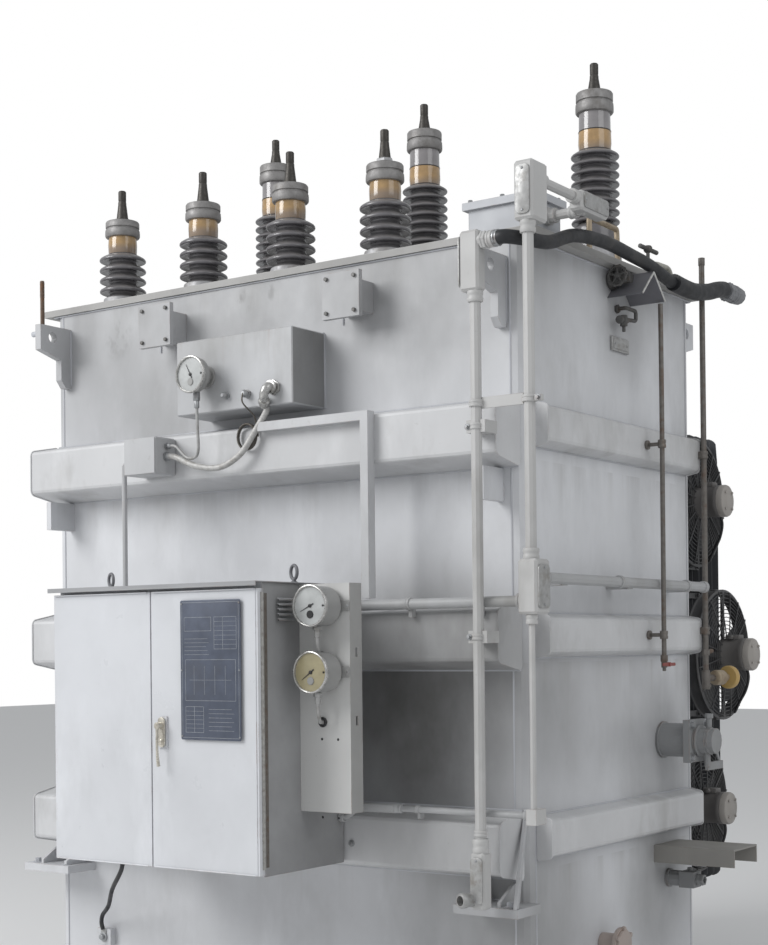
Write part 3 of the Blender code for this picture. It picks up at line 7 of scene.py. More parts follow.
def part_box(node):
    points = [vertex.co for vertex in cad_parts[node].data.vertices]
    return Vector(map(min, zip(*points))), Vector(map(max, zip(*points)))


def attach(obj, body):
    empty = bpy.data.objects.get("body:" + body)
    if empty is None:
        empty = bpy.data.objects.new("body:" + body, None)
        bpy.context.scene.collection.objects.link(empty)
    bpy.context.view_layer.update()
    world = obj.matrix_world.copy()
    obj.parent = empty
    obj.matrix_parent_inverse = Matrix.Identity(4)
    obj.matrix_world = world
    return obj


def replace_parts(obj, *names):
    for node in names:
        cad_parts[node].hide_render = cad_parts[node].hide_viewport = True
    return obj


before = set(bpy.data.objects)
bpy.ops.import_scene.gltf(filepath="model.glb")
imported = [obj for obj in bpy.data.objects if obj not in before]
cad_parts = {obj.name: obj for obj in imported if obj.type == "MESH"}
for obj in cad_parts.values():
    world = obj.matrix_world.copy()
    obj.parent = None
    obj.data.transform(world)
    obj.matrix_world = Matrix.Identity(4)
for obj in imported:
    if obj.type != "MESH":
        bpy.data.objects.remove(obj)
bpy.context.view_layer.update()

# CAMERA
# Stands to the right of the transformer at eye height, where the photographer stood, and looks
# at its front right corner. The shift keeps the uprights parallel.
CAMERA_AT = Vector((3.8008, -5.3175, 1.500))
YAW, PITCH, ROLL = math.radians(35.1036), math.radians(0.185), math.radians(-0.5838)
view_camera = bpy.data.cameras.new("photographer")
view_camera.sensor_width = 36.0
view_camera.lens = 61.78
view_camera.shift_y = 0.1794
view_camera.clip_end = 200.0
photographer = bpy.data.objects.new("photographer", view_camera)
bpy.context.scene.collection.objects.link(photographer)
look = Vector((-math.sin(YAW) * math.cos(PITCH), math.cos(YAW) * math.cos(PITCH), math.sin(PITCH)))
right = Vector((math.cos(YAW), math.sin(YAW), 0.0))
above = right.cross(look)
tilted_right = right * math.cos(ROLL) + above * math.sin(ROLL)
tilted_above = above * math.cos(ROLL) - right * math.sin(ROLL)
photographer.matrix_world = Matrix.Translation(CAMERA_AT) @ Matrix(
    (tilted_right, tilted_above, -look)).transposed().to_4x4()
bpy.context.scene.camera = photographer
bpy.context.scene.view_settings.view_transform = "Standard"

# FLOOR AND LIGHT
# A pale workshop floor, a white surround that only the lens and shiny pieces see, and two
# large soft lamps: a strong one from the front left and a weak one from the right.
bpy.ops.object.select_all(action="DESELECT")
bpy.ops.mesh.primitive_grid_add(x_subdivisions=8, y_subdivisions=8, size=60.0, location=(0, 0, -0.001))
floor = bpy.context.object
floor.name = "workshop_floor"
floor_paint = bpy.data.materials.new("pale_floor")
floor_paint.use_nodes = True
nodes, links = floor_paint.node_tree.nodes, floor_paint.node_tree.links
nodes["Principled BSDF"].inputs["Base Color"].default_value = (0.80, 0.80, 0.80, 1.0)
nodes["Principled BSDF"].inputs["Roughness"].default_value = 0.75
floor.data.materials.append(floor_paint)

surround = bpy.data.worlds.new("soft_daylight")
surround.use_nodes = True
bpy.context.scene.world = surround
nodes, links = surround.node_tree.nodes, surround.node_tree.links
daylight = nodes["Background"]
daylight.inputs["Color"].default_value = (0.96, 0.98, 1.0, 1.0)
daylight.inputs["Strength"].default_value = 0.52
backdrop = nodes.new("ShaderNodeBackground")
backdrop.inputs["Color"].default_value = (1.0, 1.0, 1.0, 1.0)
backdrop.inputs["Strength"].default_value = 1.0
ray = nodes.new("ShaderNodeLightPath")
seen = nodes.new("ShaderNodeMath")
seen.operation = "MAXIMUM"
links.new(ray.outputs["Is Camera Ray"], seen.inputs[0])
links.new(ray.outputs["Is Transmission Ray"], seen.inputs[1])
choose = nodes.new("ShaderNodeMixShader")
links.new(seen.outputs[0], choose.inputs[0])
links.new(daylight.outputs[0], choose.inputs[1])
links.new(backdrop.outputs[0], choose.inputs[2])
links.new(choose.outputs[0], nodes["World Output"].inputs["Surface"])

for lamp_name, place, aim, size, power in (("window_left", (-4.5, -7.0, 6.5), (0, -0.6, 1.6), 5.0, 560.0),
                                           ("window_right", (7.5, -1.5, 6.0), (0.5, 0, 1.6), 5.0, 105.0)):
    lamp_data = bpy.data.lights.new(lamp_name, "AREA")
    lamp_data.size = size
    lamp_data.energy = power
    lamp = bpy.data.objects.new(lamp_name, lamp_data)
    bpy.context.scene.collection.objects.link(lamp)
    lamp.location = place
    lamp.rotation_mode = "QUATERNION"
    lamp.rotation_quaternion = (Vector(aim) - Vector(place)).to_track_quat("-Z", "Y")

# TANK
# A welded box of steel plate with rounded corners, sprayed pale grey. Rain has run down it
# from the cover and the rails and left grey-brown streaks, and the corners are rubbed.
TANK_GREY = (0.655, 0.664, 0.686)
GRIME = (0.250, 0.243, 0.226)
RUST = (0.225, 0.105, 0.045)
# the dark colour of soot, also laid as painted shade
SOOT_AND_SHADE = (0.132, 0.130, 0.126)
WALL_X, WALL_Y = 1.10, 0.66


class PaintPot:
    """A finish while it is mixed: its nodes, its shader, and the colour that is laid so far."""

    def __init__(self, name, colour):
        self.finish = bpy.data.materials.new(name)
        self.finish.use_nodes = True
        self.nodes, self.links = self.finish.node_tree.nodes, self.finish.node_tree.links
        self.shader = self.nodes["Principled BSDF"]
        self.place = self.add("TexCoord", {}, "Object")
        self.tone = colour

    def feed(self, socket, value):
        """Feed a socket from another one, or set it to a plain value."""
        if isinstance(value, bpy.types.NodeSocket):
            self.links.new(value, socket)
        else:
            socket.default_value = (*value, 1.0) if socket.type == "RGBA" else value

    def add(self, kind, feeds, give=0, **settings):
        """Put in a node with its settings and its fed inputs, and return one of its outputs."""
        node = self.nodes.new("ShaderNode" + kind)
        for setting, value in settings.items():
            setattr(node, setting, value)
        for socket, value in feeds.items():
            self.feed(node.inputs[socket], value)
        return node.outputs[give]

    def ranged(self, value, low, high, least=0.0, most=1.0, **settings):
        """A value's stretch from low to high, turned into least to most."""
        return self.add("MapRange", {"Value": value, "From Min": low, "From Max": high, "To Min": least,
                                     "To Max": most}, **settings)

    def patchy(self, scale, low, high, stretch=(1, 1, 1)):
        """Noise on the piece's own coordinates, cut between two levels and returned as a mask."""
        turned = self.add("Mapping", {"Vector": self.place, "Scale": stretch})
        noise = self.add("TexNoise", {"Vector": turned, "Scale": scale, "Detail": 5.0, "Roughness": 0.62},
                         "Fac")
        return self.ranged(noise, low, high)

    def maths(self, first, second, operation="MULTIPLY"):
        """One Math node of two inputs, each a socket or a number."""
        return self.add("Math", {0: first, 1: second}, operation=operation)

    def uneven(self, mask, share):
        """A mask weakened by a share, so that what is laid by it doesn't cover evenly."""
        return self.maths(self.maths(mask, share), 1.0 - share, "ADD")

    def lay(self, colour, mask):
        """Lay a colour over the tone so far."""
        self.tone = self.add("Mix", {"Factor": mask, "A": self.tone, "B": colour}, "Result", data_type="RGBA")

    def grained(self, scale, strength, depth, under=None, **detail):
        """A fine relief of noise, over another relief if one is given."""
        noise = self.add("TexNoise", {"Vector": self.place, "Scale": scale, **detail}, "Fac")
        feeds = {"Strength": strength, "Distance": depth, "Height": noise}
        if under:
            feeds["Normal"] = under
        return self.add("Bump", feeds)

    def finished(self, rough, relief):
        """Join the tone, the gloss and the relief to the shader."""
        for socket, value in (("Base Color", self.tone), ("Roughness", rough), ("Normal", relief)):
            self.feed(self.shader.inputs[socket], value)
        return self.finish


def shade_of(colour, share):
    """A colour made darker or lighter."""
    return tuple(min(1.0, part * share) for part in colour)


def old_paint(name, colour, run_tops=(), run_length=0.30, grime=0.45, rust=0.30, gloss=0.42, chips=True,
              runs=0.55, grain=260.0, stains_and_shade=(), plus_x_dirt_and_shade=0.0, bared=RUST):
    """Sprayed paint after years outdoors: uneven tone, grime, rain runs under each ledge, rubbed edges.

    Stains and shade are (place, reach, strength) for dark patches of dirt and of painted shade; the +X share
    darkens the faces toward +X with dirt and painted shade; and bared is the colour under rubbed edges."""
    pot = PaintPot(name, colour)
    pot.lay(shade_of(colour, 0.88), pot.patchy(1.6, 0.38, 0.68))
    pot.lay(shade_of(colour, 1.07), pot.patchy(5.0, 0.52, 0.74, (1, 1, 0.35)))
    pot.lay(GRIME, pot.maths(pot.patchy(3.1, 0.55, 0.80, (1, 1, 0.5)), grime))
    # dark patches: stains, and painted shade where a neighbouring part shades the wall
    for place, reach, strength in stains_and_shade:
        far = pot.add("VectorMath", {0: pot.place, 1: place}, "Value", operation="DISTANCE")
        spread = pot.ranged(far, reach, reach * 0.30, interpolation_type="SMOOTHSTEP")
        low, high, share = (0.25, 0.75, 0.45) if reach > 0.2 else (0.44, 0.58, 0.92)
        broken = pot.uneven(pot.patchy(max(2.6, 1.1 / reach), low, high, (1, 1, 0.6)), share)
        pot.lay(SOOT_AND_SHADE, pot.maths(pot.maths(spread, broken), strength))
    # faces toward +X darkened: dirt and painted shade
    if plus_x_dirt_and_shade:
        facing = pot.add("SeparateXYZ", {0: pot.add("TexCoord", {}, "Normal")}, "X")
        broken = pot.uneven(pot.patchy(2.4, 0.25, 0.75), 0.35)
        pot.lay(SOOT_AND_SHADE, pot.maths(pot.maths(pot.maths(facing, 0.8, "GREATER_THAN"), broken), plus_x_dirt_and_shade))
    if run_tops:
        height = pot.add("SeparateXYZ", {0: pot.place}, "Z")
        wet = 0.0
        for top in run_tops:
            fade = pot.maths(pot.ranged(height, top - run_length, top), 1.6, "POWER")
            wet = pot.maths(wet, pot.maths(fade, pot.maths(height, top + 0.004, "LESS_THAN")), "MAXIMUM")
        pot.lay(GRIME, pot.maths(pot.maths(wet, pot.patchy(1.0, 0.44, 0.80, (11, 11, 0.55))), runs))
        pot.lay(RUST, pot.maths(pot.maths(wet, pot.patchy(1.0, 0.60, 0.78, (44, 44, 1.3))), rust))
    pot.lay(GRIME, pot.maths(pot.patchy(38.0, 0.66, 0.74), 0.35 * grime))
    if chips:
        rounded = pot.add("Bevel", {"Radius": 0.004}, samples=4)
        true = pot.add("NewGeometry", {}, "Normal")
        lean = pot.add("VectorMath", {0: rounded, 1: true}, "Value", operation="DOT_PRODUCT")
        rubbed = pot.maths(pot.ranged(lean, 0.97, 0.80), pot.patchy(14.0, 0.48, 0.62))
        pot.lay(bared, pot.maths(rubbed, 0.55 if bared == RUST else 1.0))
    sheet = pot.grained(2.2, 0.22, 0.010, Detail=1.0)
    skin = pot.grained(grain, 0.10, 0.0006, sheet, Detail=2.0)
    return pot.finished(pot.ranged(pot.patchy(7.0, 0.35, 0.75), 0.0, 1.0, gloss - 0.07, gloss + 0.16), skin)


def dress(node, paint):
    """Give a CAD node its finish."""
    for place in bpy.data.objects[node].material_slots:
        place.material = paint


def front_darkening(x, z, reach, strength):
    """A dark patch laid in the paint of the tank's front wall; the stains and the painted shade use it alike.
    """
    return (x, -WALL_Y, z), reach, strength


def end_darkening(y, z, reach, strength):
    """A dark patch laid in the paint of the tank's right end wall."""
    return (WALL_X, y, z), reach, strength


# Dark patches laid in the tank's paint. The first is painted shadow with dirt: it darkens the bay below the
# middle rail beside the gauge panel, where the panel and the rail shade the wall.
tank_stains_and_shade = (
    front_darkening(0.700, 1.300, 0.66, 1.00), front_darkening(-0.400, 2.780, 0.95, 0.66),
    front_darkening(0.700, 2.820, 0.70, 0.66),
    front_darkening(-0.200, 0.450, 0.95, 0.24), front_darkening(-1.100, 2.700, 0.50, 0.30),
    front_darkening(-0.746, 2.740, 0.11, 0.60),
    front_darkening(-0.095, 2.800, 0.06, 0.55), front_darkening(0.020, 2.815, 0.05, 0.45),
    front_darkening(0.880, 0.560, 0.55, 0.50),
    end_darkening(0.350, 1.050, 0.45, 0.55), end_darkening(-0.200, 1.350, 0.60, 0.30),
    end_darkening(-0.500, 0.560, 0.50, 0.34),
    end_darkening(0.060, 2.720, 0.34, 0.50), end_darkening(0.350, 0.560, 0.42, 0.50))
ledges = (2.862, 2.120, 1.440, 0.745)
tank_paint = old_paint("tank_paint_outdoors", TANK_GREY, ledges, 0.26, grime=0.26, rust=0.12, runs=0.42,
                       stains_and_shade=tank_stains_and_shade)
dress("tank_shell", tank_paint)


def clear_bench():
    """Let go of everything that is selected, so that an operator acts on the new piece alone."""
    bpy.ops.object.select_all(action="DESELECT")


def keep(piece, name, finish, body="root"):
    """Name a finished piece, fix its place in its mesh, give it its finish and let it ride."""
    clear_bench()
    piece.select_set(True)
    bpy.context.view_layer.objects.active = piece
    bpy.ops.object.transform_apply(location=True, rotation=True, scale=True)
    piece.name = piece.data.name = name
    if finish:
        piece.data.materials.clear()
        piece.data.materials.append(finish)
    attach(piece, body)
    return piece


def weld_up(pieces):
    """Join loose pieces into one object."""
    clear_bench()
    for piece in pieces:
        piece.select_set(True)
    bpy.context.view_layer.objects.active = pieces[0]
    bpy.ops.object.transform_apply(location=True, rotation=True, scale=True)
    if len(pieces) > 1:
        bpy.ops.object.join()
    return bpy.context.object


def lie_along(piece, toward, place=None):
    """Turn a piece made along Z so that it points another way, and set it in its place."""
    piece.rotation_mode = "QUATERNION"
    piece.rotation_quaternion = Vector(toward).to_track_quat("Z", "Y")
    if place is not None:
        piece.location = Vector(place)
    return piece


def open_mesh(selected, kind="VERT"):
    """Go into the active piece's mesh with all of it selected, or none."""
    bpy.ops.object.mode_set(mode="EDIT")
    bpy.ops.mesh.select_mode(type=kind)
    bpy.ops.mesh.select_all(action=selected)


def close_mesh(smooth):
    """Leave the mesh and shade it smooth over all edges flatter than an angle in degrees."""
    bpy.ops.mesh.select_mode(type="VERT")
    bpy.ops.object.mode_set(mode="OBJECT")
    bpy.ops.object.shade_smooth_by_angle(angle=math.radians(smooth))


def rough_box(low, high):
    """A sharp box between two corners, the start of a plate."""
    low, high = Vector(low), Vector(high)
    clear_bench()
    bpy.ops.mesh.primitive_cube_add(size=1.0, location=(low + high) / 2, scale=high - low)
    bpy.ops.object.transform_apply(location=False, rotation=False, scale=True)
    return bpy.context.object


def plate_box(low, high, bend=0.003, turns=2):
    """A box between two corners with its edges rounded as folded or cast metal is."""
    box = rough_box(low, high)
    open_mesh("SELECT")
    bpy.ops.mesh.bevel(offset=bend, segments=turns, affect="EDGES")
    close_mesh(40)
    return box


def pick_edges(piece, wanted):
    """Select in code the edges whose two ends pass a test, and no others."""
    open_mesh("DESELECT", "EDGE")
    bpy.ops.object.mode_set(mode="OBJECT")
    for edge in piece.data.edges:
        edge.select = wanted(*(piece.data.vertices[i].co for i in edge.vertices))
    bpy.ops.object.mode_set(mode="EDIT")


def round_bar(start, end, radius, sides=20, bend=0.0015):
    """A round bar between two points with its end edges broken."""
    start, end = Vector(start), Vector(end)
    clear_bench()
    bpy.ops.mesh.primitive_cylinder_add(vertices=sides, radius=radius, depth=(end - start).length,
                                        location=(start + end) / 2)
    bar = lie_along(bpy.context.object, end - start)
    pick_edges(bar, lambda a, b: abs(a.z - b.z) < 1e-6)
    bpy.ops.mesh.bevel(offset=bend, segments=2, affect="EDGES")
    close_mesh(40)
    return bar


def bead(start, end, radius=0.0035):
    """A straight bead of weld, or a thin rolled edge."""
    return round_bar(start, end, radius, 8)


def draw_outline(points):
    """Draw a line through points, from a small plane that is merged into the first one."""
    clear_bench()
    bpy.ops.mesh.primitive_plane_add(size=0.001)
    open_mesh("SELECT")
    bpy.ops.mesh.merge(type="CENTER")
    bpy.ops.transform.translate(value=points[0])
    for before, after in zip(points, points[1:]):
        bpy.ops.mesh.extrude_region_move(TRANSFORM_OT_translate={"value": Vector(after) - Vector(before)})
    bpy.ops.mesh.select_all(action="SELECT")
    return bpy.context.object


def close_seams(threshold):
    """Merge doubles and turn the faces outward."""
    bpy.ops.mesh.select_all(action="SELECT")
    bpy.ops.mesh.remove_doubles(threshold=threshold)
    bpy.ops.mesh.normals_make_consistent(inside=False)


def lathe(outline, steps=32):
    """Turn an outline of (radius, height) points about the upright axis."""
    turned = draw_outline([(radius, 0.0, height) for radius, height in outline])
    bpy.ops.mesh.spin(steps=steps, angle=math.tau, center=(0, 0, 0), axis=(0, 0, 1))
    close_seams(0.00004)
    close_mesh(35)
    return turned


def copies(pattern, places, toward=None):
    """Copies of a pattern piece at places, each with its own mesh. The pattern itself is removed."""
    made = []
    for place in places:
        twin = pattern.copy()
        twin.data = pattern.data.copy()
        bpy.context.scene.collection.objects.link(twin)
        twin.location = Vector(place)
        if toward is not None:
            lie_along(twin, toward)
        made.append(twin)
    bpy.data.objects.remove(pattern, do_unlink=True)
    return made


def hex_bolt(across=0.024, washer=True):
    """A bolt head on its washer, standing up from the origin."""
    washer_r, base, tall = across * 0.92, 0.0028 if washer else 0.0, across * 0.62
    parts = []
    if washer:
        parts.append(lathe([(0.0, 0.0), (washer_r, 0.0), (washer_r, 0.0022), (across * 0.84, 0.0030),
                            (0.0, 0.0030)], 18))
    clear_bench()
    bpy.ops.mesh.primitive_cylinder_add(vertices=6, radius=across * 0.577, depth=tall,
                                        location=(0, 0, base + tall / 2))
    head = bpy.context.object
    open_mesh("DESELECT")
    bpy.ops.object.mode_set(mode="OBJECT")
    top = max(face.center.z for face in head.data.polygons)
    for face in head.data.polygons:
        face.select = face.center.z > top - 1e-5
    bpy.ops.object.mode_set(mode="EDIT")
    bpy.ops.mesh.inset(thickness=across * 0.07)
    bpy.ops.transform.translate(value=(0, 0, across * 0.035))
    bpy.ops.object.mode_set(mode="OBJECT")
    return weld_up(parts + [head])


def bolt_set(name, places, toward, finish, across=0.024, body="root", washer=True):
    """One piece made of the same bolt at each place."""
    return keep(weld_up(copies(hex_bolt(across, washer), places, toward)), name, finish, body)


def drawn_pipe(route, radius, sides=5, swell=None):
    """A round pipe through the points given, its thickness varied where swell gives a factor for each."""
    clear_bench()
    bpy.ops.curve.primitive_nurbs_path_add()
    pipe = bpy.context.object
    pipe.data.splines.clear()
    spline = pipe.data.splines.new("POLY")
    spline.points.add(len(route) - 1)
    for k, place in enumerate(route):
        spline.points[k].co = (*place, 1.0)
        spline.points[k].radius = swell[k] if swell else 1.0
    pipe.data.bevel_depth = radius
    pipe.data.bevel_resolution = sides
    pipe.data.use_fill_caps = True
    bpy.ops.object.convert(target="MESH")
    open_mesh("SELECT")
    close_seams(0.00002)
    close_mesh(45)
    return bpy.context.object


def bent_pipe(points, radius, corner=0.03, sides=5):
    """A round pipe along straight legs with eased corners."""
    points = [Vector(p) for p in points]
    route = [points[0]]
    for before, at, after in zip(points, points[1:], points[2:]):
        reach = min(corner, (at - before).length * 0.45, (after - at).length * 0.45)
        a, b = at + (before - at).normalized() * reach, at + (after - at).normalized() * reach
        route += [a * (1 - t) ** 2 + at * 2 * t * (1 - t) + b * t ** 2 for t in (k / 6 for k in range(7))]
    return drawn_pipe(route + [points[-1]], radius, sides)


def metal(name, colour, rough=0.42, shine=0.9, stain=RUST, stained=0.25, scale=60.0):
    """Bare or plated metal with stains and uneven gloss."""
    pot = PaintPot(name, colour)
    pot.shader.inputs["Metallic"].default_value = shine
    pot.lay(shade_of(colour, 0.72), pot.patchy(scale, 0.35, 0.72))
    pot.lay(stain, pot.maths(pot.patchy(scale * 0.5, 0.52, 0.70), stained))
    rub = pot.ranged(pot.patchy(scale * 1.7, 0.35, 0.7), 0.0, 1.0, rough - 0.08, rough + 0.15)
    return pot.finished(rub, pot.grained(scale * 6, 0.15, 0.0005))


zinc = metal("dull_zinc", (0.42, 0.43, 0.44), 0.45, 0.75)
painted_bolts = old_paint("bolts_painted_over", (0.50, 0.515, 0.545), grime=0.6, gloss=0.45)
weld_paint = old_paint("paint_over_weld", (0.50, 0.51, 0.54), grime=0.55, rust=0.4, chips=False)

# upright welds where the front and end plates meet
SEAM_IN, SEAM_FOOT, SEAM_TOP = 0.048, 0.152, 2.858
seams = []
for side_x in (-1, 1):
    for side_y in (-1, 1):
        for x, y, radius in ((WALL_X - SEAM_IN, WALL_Y, 0.0035), (WALL_X, WALL_Y - SEAM_IN - 0.004, 0.003)):
            seams.append(bead((side_x * x, side_y * y, SEAM_FOOT), (side_x * x, side_y * y, SEAM_TOP),
                              radius))
keep(weld_up(seams), "tank_corner_welds", weld_paint)

# the blanking plates' bolts
dull_bolts = metal("dull_bolts", (0.150, 0.148, 0.145), 0.5, 0.5, (0.12, 0.09, 0.07), 0.4, 60.0)
BLIND_X, BLIND_Z, BOLT_OUT, BLIND_FACE = 0.440, 2.730, 0.060, -0.7802
places = [(middle + dx, BLIND_FACE, BLIND_Z + dz) for middle in (-BLIND_X, BLIND_X) for dx in (-BOLT_OUT,
                                                                                               BOLT_OUT)
          for dz in (-BOLT_OUT, BOLT_OUT)]
bolt_set("blind_plate_bolts", places, (0, -1, 0), dull_bolts, 0.013, washer=False)

# BASE FRAME
# Three skids of plate under a thick base plate, welded and painted with the tank. It stands in
# the wet, so its paint is the dirtiest of all.
base_paint = old_paint("base_paint_outdoors", (0.470, 0.480, 0.510), (0.150,), 0.13, grime=0.75, rust=0.6)
dress("base_frame", base_paint)


def bead_round_tank(name, z, out, x_short, y_short, radius):
    """A bead of weld round the tank at one level, out from its walls and short of its corners."""
    x, y = WALL_X + out, WALL_Y + out
    runs = [bead((-WALL_X + x_short, side * y, z), (WALL_X - x_short, side * y, z), radius) for side in (-1,
                                                                                                         1)]
    runs += [bead((side * x, -WALL_Y + y_short, z), (side * x, WALL_Y - y_short, z),
                  radius) for side in (-1, 1)]
    keep(weld_up(runs), name, weld_paint)


bead_round_tank("base_weld_bead", 0.1525, 0.0015, 0.002, 0.005, 0.004)

# STIFFENING RAILS
# Channels of folded plate welded round the tank with their open side to the wall. Each end is
# closed by a plate with rounded corners that stands a little proud of the channel.
# The two dark patches laid in the rails' paint near x 0.8 are painted shade with dirt, matching the shaded
# bay beside the gauge panel.
rail_paint = old_paint("rail_paint_outdoors", (0.600, 0.604, 0.614), grime=0.62, rust=0.4, stains_and_shade=(
    ((0.850, -0.812, 1.460), 0.50, 0.75), ((0.800, -0.812, 0.920), 0.40, 0.40)))
CAP_THICK, CAP_CORNER, CAP_PROUD, CAP_IN = 0.006, 0.020, 0.004, 0.002


def break_edges(piece, bend, turns):
    """Round the sharp edges of a finished outline and shade it smooth."""
    edges = piece.modifiers.new("broken_edges", "BEVEL")
    edges.width = bend
    edges.segments = turns
    edges.limit_method = "ANGLE"
    edges.angle_limit = math.radians(50)
    bpy.ops.object.modifier_apply(modifier="broken_edges")
    bpy.ops.object.shade_smooth_by_angle(angle=math.radians(35))


def cut_plate(outline, thick, corner, place, across, up, bend=0.0012):
    """A plate cut to an outline of (across, up) points, its corners rounded, its edges broken."""
    plate = draw_outline([(x, y, 0.0) for x, y in outline])
    bpy.ops.mesh.edge_face_add()
    if corner:
        bpy.ops.mesh.bevel(offset=corner, segments=4, affect="VERTICES")
    bpy.ops.mesh.select_all(action="SELECT")
    bpy.ops.mesh.extrude_region_move(TRANSFORM_OT_translate={"value": (0.0, 0.0, thick)})
    bpy.ops.mesh.select_all(action="SELECT")
    bpy.ops.mesh.normals_make_consistent(inside=False)
    bpy.ops.object.mode_set(mode="OBJECT")
    break_edges(plate, bend, 1)
    across, up = Vector(across), Vector(up)
    plate.matrix_world = Matrix.Translation(Vector(place)) @ Matrix(
        (across, up, across.cross(up))).transposed().to_4x4()
    return plate


# each side: the axis it faces along, its sign, and its ends' splay, proud edge and corner radius
rail_sides = {"front": (1, -1, 0.030, CAP_PROUD, CAP_CORNER), "back": (1, 1, 0.012, CAP_PROUD, CAP_CORNER),
              "right": (0, 1, 0.012, 0.0, CAP_CORNER * 0.6), "left": (0, -1, 0.012, 0.0, CAP_CORNER * 0.6)}


def on_side(axis, far, out, z):
    """A point told by how far it lies along a side and how far out from the middle of the tank."""
    return (far, out, z) if axis else (out, far, z)


end_caps, wall_beads = [], []
for level in ("top", "middle", "bottom"):
    for side, (axis, outward, splay, proud, corner) in rail_sides.items():
        node = f"{side}_rail_{level}"
        dress(node, rail_paint)
        low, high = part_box(node)
        wall = outward * (WALL_X, WALL_Y)[axis]
        reach = max(abs(low[axis]), abs(high[axis])) - abs(wall) + proud
        outline = [(CAP_IN, low[2] - CAP_PROUD), (reach, low[2] + splay - CAP_PROUD),
                   (reach, high[2] - splay + CAP_PROUD), (CAP_IN, high[2] + CAP_PROUD)]
        outline = [(outward * x, z) for x, z in outline]
        for end in (low[0] - CAP_THICK, high[0]) if axis else (low[1], high[1] + CAP_THICK):
            end_caps.append(cut_plate(outline, CAP_THICK, corner, on_side(axis, end, wall, 0.0),
                                      on_side(axis, 0, 1, 0), (0, 0, 1)))
        for z in (low[2] - 0.001, high[2] + 0.001):
            wall_beads.append(bead(*(on_side(axis, end, wall + outward * CAP_IN, z)
                                     for end in (low[1 - axis], high[1 - axis]))))
keep(weld_up(end_caps), "rail_end_caps", rail_paint)
keep(weld_up(wall_beads), "rail_weld_beads", weld_paint)

# COVER
# A thick steel plate welded down round its edge. The paint has chipped off its front edge in a
# bright line, and dust lies on top of it.
COVER_TOP = 2.8876
cover_paint = old_paint("cover_paint_outdoors", (0.365, 0.360, 0.350), grime=0.8, rust=0.45, gloss=0.55,
                        bared=(0.700, 0.690, 0.660))
dress("top_cover", cover_paint)
bead_round_tank("cover_weld_bead", 2.8590, 0.0025, 0.0, 0.0, 0.0035)

# BUSHINGS
# Seven grey porcelain insulators bolted to the cover, four low in front and three high behind.
# Each has a cast flange, glazed sheds, an amber glass oil sight, a grey cast cap and a dark stud.
AMBER_SLUDGE = (0.250, 0.195, 0.155)
SETTLED_DUST = (0.30, 0.285, 0.265)


def glazed(name, colour, rough, coat, dust=0.5, scale=22.0, sludge=None):
    """Fired glaze or glass with dust lying on it. Sludge darkens a sight glass below the two levels given."""
    pot = PaintPot(name, colour)
    pot.shader.inputs["Coat Weight"].default_value = coat
    pot.shader.inputs["Coat Roughness"].default_value = 0.12
    pot.lay(shade_of(colour, 0.70), pot.patchy(scale, 0.35, 0.72))
    if sludge:
        height = pot.add("SeparateXYZ", {0: pot.place}, "Z")
        pot.lay(AMBER_SLUDGE, pot.maths(pot.ranged(height, sludge[1], sludge[0]), 0.85))
    upward = pot.add("SeparateXYZ", {0: pot.add("NewGeometry", {}, "Normal")}, "Z")
    settled = pot.maths(pot.maths(pot.ranged(upward, 0.05, 0.95), pot.patchy(30.0, 0.25, 0.62)), dust)
    pot.lay(SETTLED_DUST, settled)
    return pot.finished(pot.ranged(settled, 0.0, 1.0, rough, rough + 0.30), pot.grained(18.0, 0.12, 0.001))


porcelain = glazed("grey_glaze", (0.150, 0.144, 0.154), 0.26, 0.50)
low_amber = glazed("low_amber_sight_glass", (0.440, 0.285, 0.130), 0.16, 0.8, 0.25, 26.0, (3.148, 3.172))
high_amber = glazed("high_amber_sight_glass", (0.500, 0.320, 0.145), 0.16, 0.8, 0.25, 26.0, (3.362, 3.392))
clear_glass = glazed("clear_sight_glass", (0.300, 0.285, 0.290), 0.14, 0.8, 0.2, 9.0)
cap_casting = metal("cap_casting", (0.300, 0.292, 0.288), 0.50, 0.30, (0.15, 0.13, 0.11), 0.40, 34.0)
stud_metal = metal("weathered_stud", (0.085, 0.080, 0.074), 0.48, 0.75, (0.05, 0.045, 0.035), 0.4, 90.0)
flange_casting = metal("flange_casting", (0.440, 0.440, 0.450), 0.52, 0.35, (0.22, 0.17, 0.12), 0.35, 30.0)


def turned_part(outline, finish, steps=32):
    """A lathe piece in its own finish."""
    part = lathe(outline, steps)
    part.data.materials.append(finish)
    return part


def shed_outline(core, rim, top, pitch, count):
    """Points of a stack of sheds, listed from the top down: sloping back, round lip, hollow underside."""
    one_shed = ((core + 0.004, 0.0), (core + (rim - core) * 0.55, 0.17), (rim - 0.004, 0.36),
                (rim - 0.0008, 0.46),
                (rim, 0.54), (rim - 0.0012, 0.63), (rim - 0.006, 0.68), (core + (rim - core) * 0.45, 0.60),
                (core + 0.003, 0.66), (core, 0.80))
    return [(out, top - pitch * (k + down)) for k in range(count) for out, down in one_shed]


def turned_from(points, finish, steps=32):
    """A lathe piece whose outline starts and ends on its axis."""
    return turned_part([(0.0, points[0][1])] + points + [(0.0, points[-1][1])], finish, steps)


def in_circle(count, radius, start=0.5):
    """Places round a circle, the first of them a share of a step past the axis."""
    return [(radius * math.cos(math.tau * (k + start) / count),
             radius * math.sin(math.tau * (k + start) / count))
            for k in range(count)]


